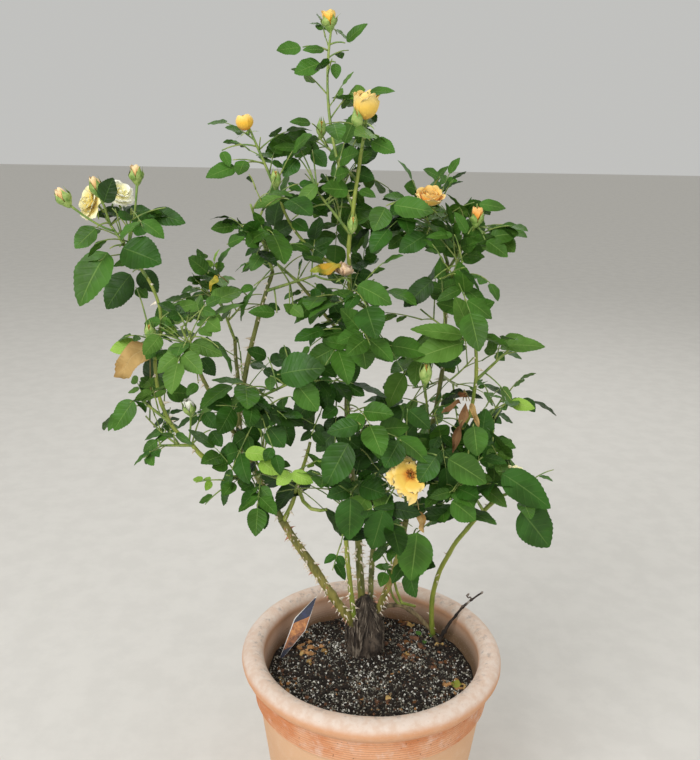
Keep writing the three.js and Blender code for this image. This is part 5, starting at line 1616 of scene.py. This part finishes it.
def makeFlowers():
    for number, (name, kind, at, axis, long, radius, share, tone, openness) in enumerate(flowers):
        seed = 500 + number
        if kind in bloomKinds:
            addBloom(at, axis, long, radius, tone, seed, bloomKinds[kind])
        else:
            addBud(at, axis, long * (1 if kind == "bud" else 0.9), radius * 0.95, tone, openness, seed)
        ahead = unit(vec(*axis))
        base = vec(*at) - ahead * long / 2
        start = pointOn(masses[name]["stem"], share)
        path = makePath(start, base, ahead * -0.12 * length(base - start))
        ts = np.linspace(0, 1, 10)
        foot, taper, swell = twigLook["flowerStalk"]
        tube(flowerStalks, pointsOn(path, 10), foot - taper * ts + swell * ts ** 8, 7)
    # Sepals and flower stalks: young green with a dull pale bloom; ripe anthers: powdery gold and russet
    sepalGreen = mottled("green sepals", "#6e933c", "#a4ba66", 7, 0.55, 0.08, speck="#b8b878")
    makePiece("sepals", sepalBunch, sepalGreen)
    makePiece("anthers", anthers, mottled("ripe anthers", "#7d2f16", "#c98a2c", 1.5, 0.7, 0.05))
    makePiece("flower_stalks", flowerStalks, mottled("flower stalks", "#688b3d", "#90a550", 10, 0.5, 0.05))


makeFlowers()
print("buds and blooms made")


# Odd leaves and litter

oddLeaves = [
    # the dried tan leaf at the left, the twisted yellowing ones, and the dried cluster at the right:
    # tone, start of the stalk, foot, tip, width as a share of length, how crumpled it is
    ("dried", (-262, -30, 640), (-257, -42, 708), (-297, -54, 672), 0.66, 0.7),
    ("yellowing", (-60, -5, 780), (-44, -15, 792), (-80, -30, 790), 0.5, 1.0),
    ("yellowing", (-173, -10, 772), (-181, -30, 784), (-190, -40, 769), 0.5, 0.9),
    ("russet", (100, -10, 650), (98, -20, 640), (72, -35, 630), 0.26, 1.0),
    ("russet", (100, -10, 650), (102, -22, 640), (94, -38, 606), 0.3, 1.0),
    ("dried", (100, -10, 650), (106, -22, 640), (116, -34, 612), 0.3, 1.0),
    ("russet", (96, -38, 622), (93, -38, 618), (86, -45, 583), 0.28, 0.8),
    ("brown", (100, -10, 650), (102, -18, 644), (90, -30, 652), 0.45, 1.0),
    ("dried", (44, -62, 540), (47, -75, 526), (53, -80, 500), 0.45, 0.6),
]
litter = [
    # x, y, length, direction in degrees, tone
    (-88, 40, 11, 241, "dried"), (-83, 22, 12, 289, "dried"), (-78, 44, 9, 8, "brown"),
    (-64, 45, 13, 290, "dried"), (-103, 66, 10, 168, "brown"), (-112, -20, 9, 185, "dried"),
    (-101, 89, 12, 226, "brown"), (-119, -1, 8, 102, "brown"), (52, 109, 12, 352, "dried"),
    (41, 112, 9, 19, "brown"), (9, 67, 9, 100, "brown"), (55, 57, 14, 138, "brown"),
    (57, 39, 12, 205, "dried"), (67, 24, 11, 147, "brown"), (43, 26, 14, 47, "brown"),
    (88, 57, 13, 16, "dried"), (101, -27, 15, 0, "olive"), (112, -31, 11, 17, "dried"),
    (18, -63, 11, 53, "dried"), (49, -65, 10, 359, "brown"), (100, 19, 9, 68, "brown"),
    (63, 70, 9, 234, "brown"), (-29, -15, 8, 270, "brown"), (85, 4, 8, 84, "brown"),
]


def addOddLeaves():
    deal = dealer(4100)
    odd = Bunch()
    for tone, start, foot, tip, wide, crumple in oddLeaves:
        start, foot = vec(*start), vec(*foot)
        leaflet = leafBetween(foot, vec(*tip), vec(0.6 * (deal() - 0.5), -0.7, 0.6))
        tube(odd, [start, (start + foot) / 2 + up, foot], [0.8, 0.7, 0.6], 5)
        addLeaflet(tones[tone], leaflet, deal, crumple, wide / leafLook["width"])
    for x, y, long, degrees, tone in litter:
        turn = math.radians(degrees)
        ahead = unit(vec(math.cos(turn), math.sin(turn), 0.1))
        addLeaflet(tones[tone], {"foot": vec(x, y, soilAt(x, y) + 1.5), "ahead": ahead,
                                 "face": unit(vec(0.1, -0.2, 1)), "long": long * 1.15}, deal, 0.8, 1.1)
    # a weed seedling of three small leaflets in the potting mix
    root = vec(77, 73, 258)
    for angle in (0.4, 2.3, 4.6):
        way = unit(vec(math.cos(angle), math.sin(angle), 0.7))
        tube(odd, [root, root + way * 8], [0.6, 0.5], 5)
        addLeaflet(tones["mid"], {"foot": root + way * 8, "ahead": unit(way - up * 0.4),
                                  "face": unit(vec(0, -0.3, 1)), "long": 11.0}, deal)
    # Dry stalks: straw brown and dull
    makePiece("odd_stalks", odd, mottled("dry stalks", "#7a6a3a", "#a0905a", 6, 0.7, 0.1))
    # a fallen white petal scrap caught on a leaf
    for k in range(3):
        foot = vec(150 + 6 * k, -42, 566 + (k % 2))
        addLeaflet(petalBunches["pale"], {"foot": foot, "ahead": unit(vec(1, 0.1, 0.2 * (1 - k))),
                                          "face": unit(vec(0, -0.4, 1)), "long": 9.0}, deal, 0.6, 0.9)


addOddLeaves()
for tone, bunch in petalBunches.items():
    if bunch.count:
        makePiece("petals_" + tone, bunch, petalMaterial(tone + " rose petal", *petalLook[tone]))
for tone, bunch in tones.items():
    if bunch.count:
        makePiece("leaves_" + tone, bunch, leafMaterial(tone + " rose leaf", *toneLook[tone]))
print("leaves made")
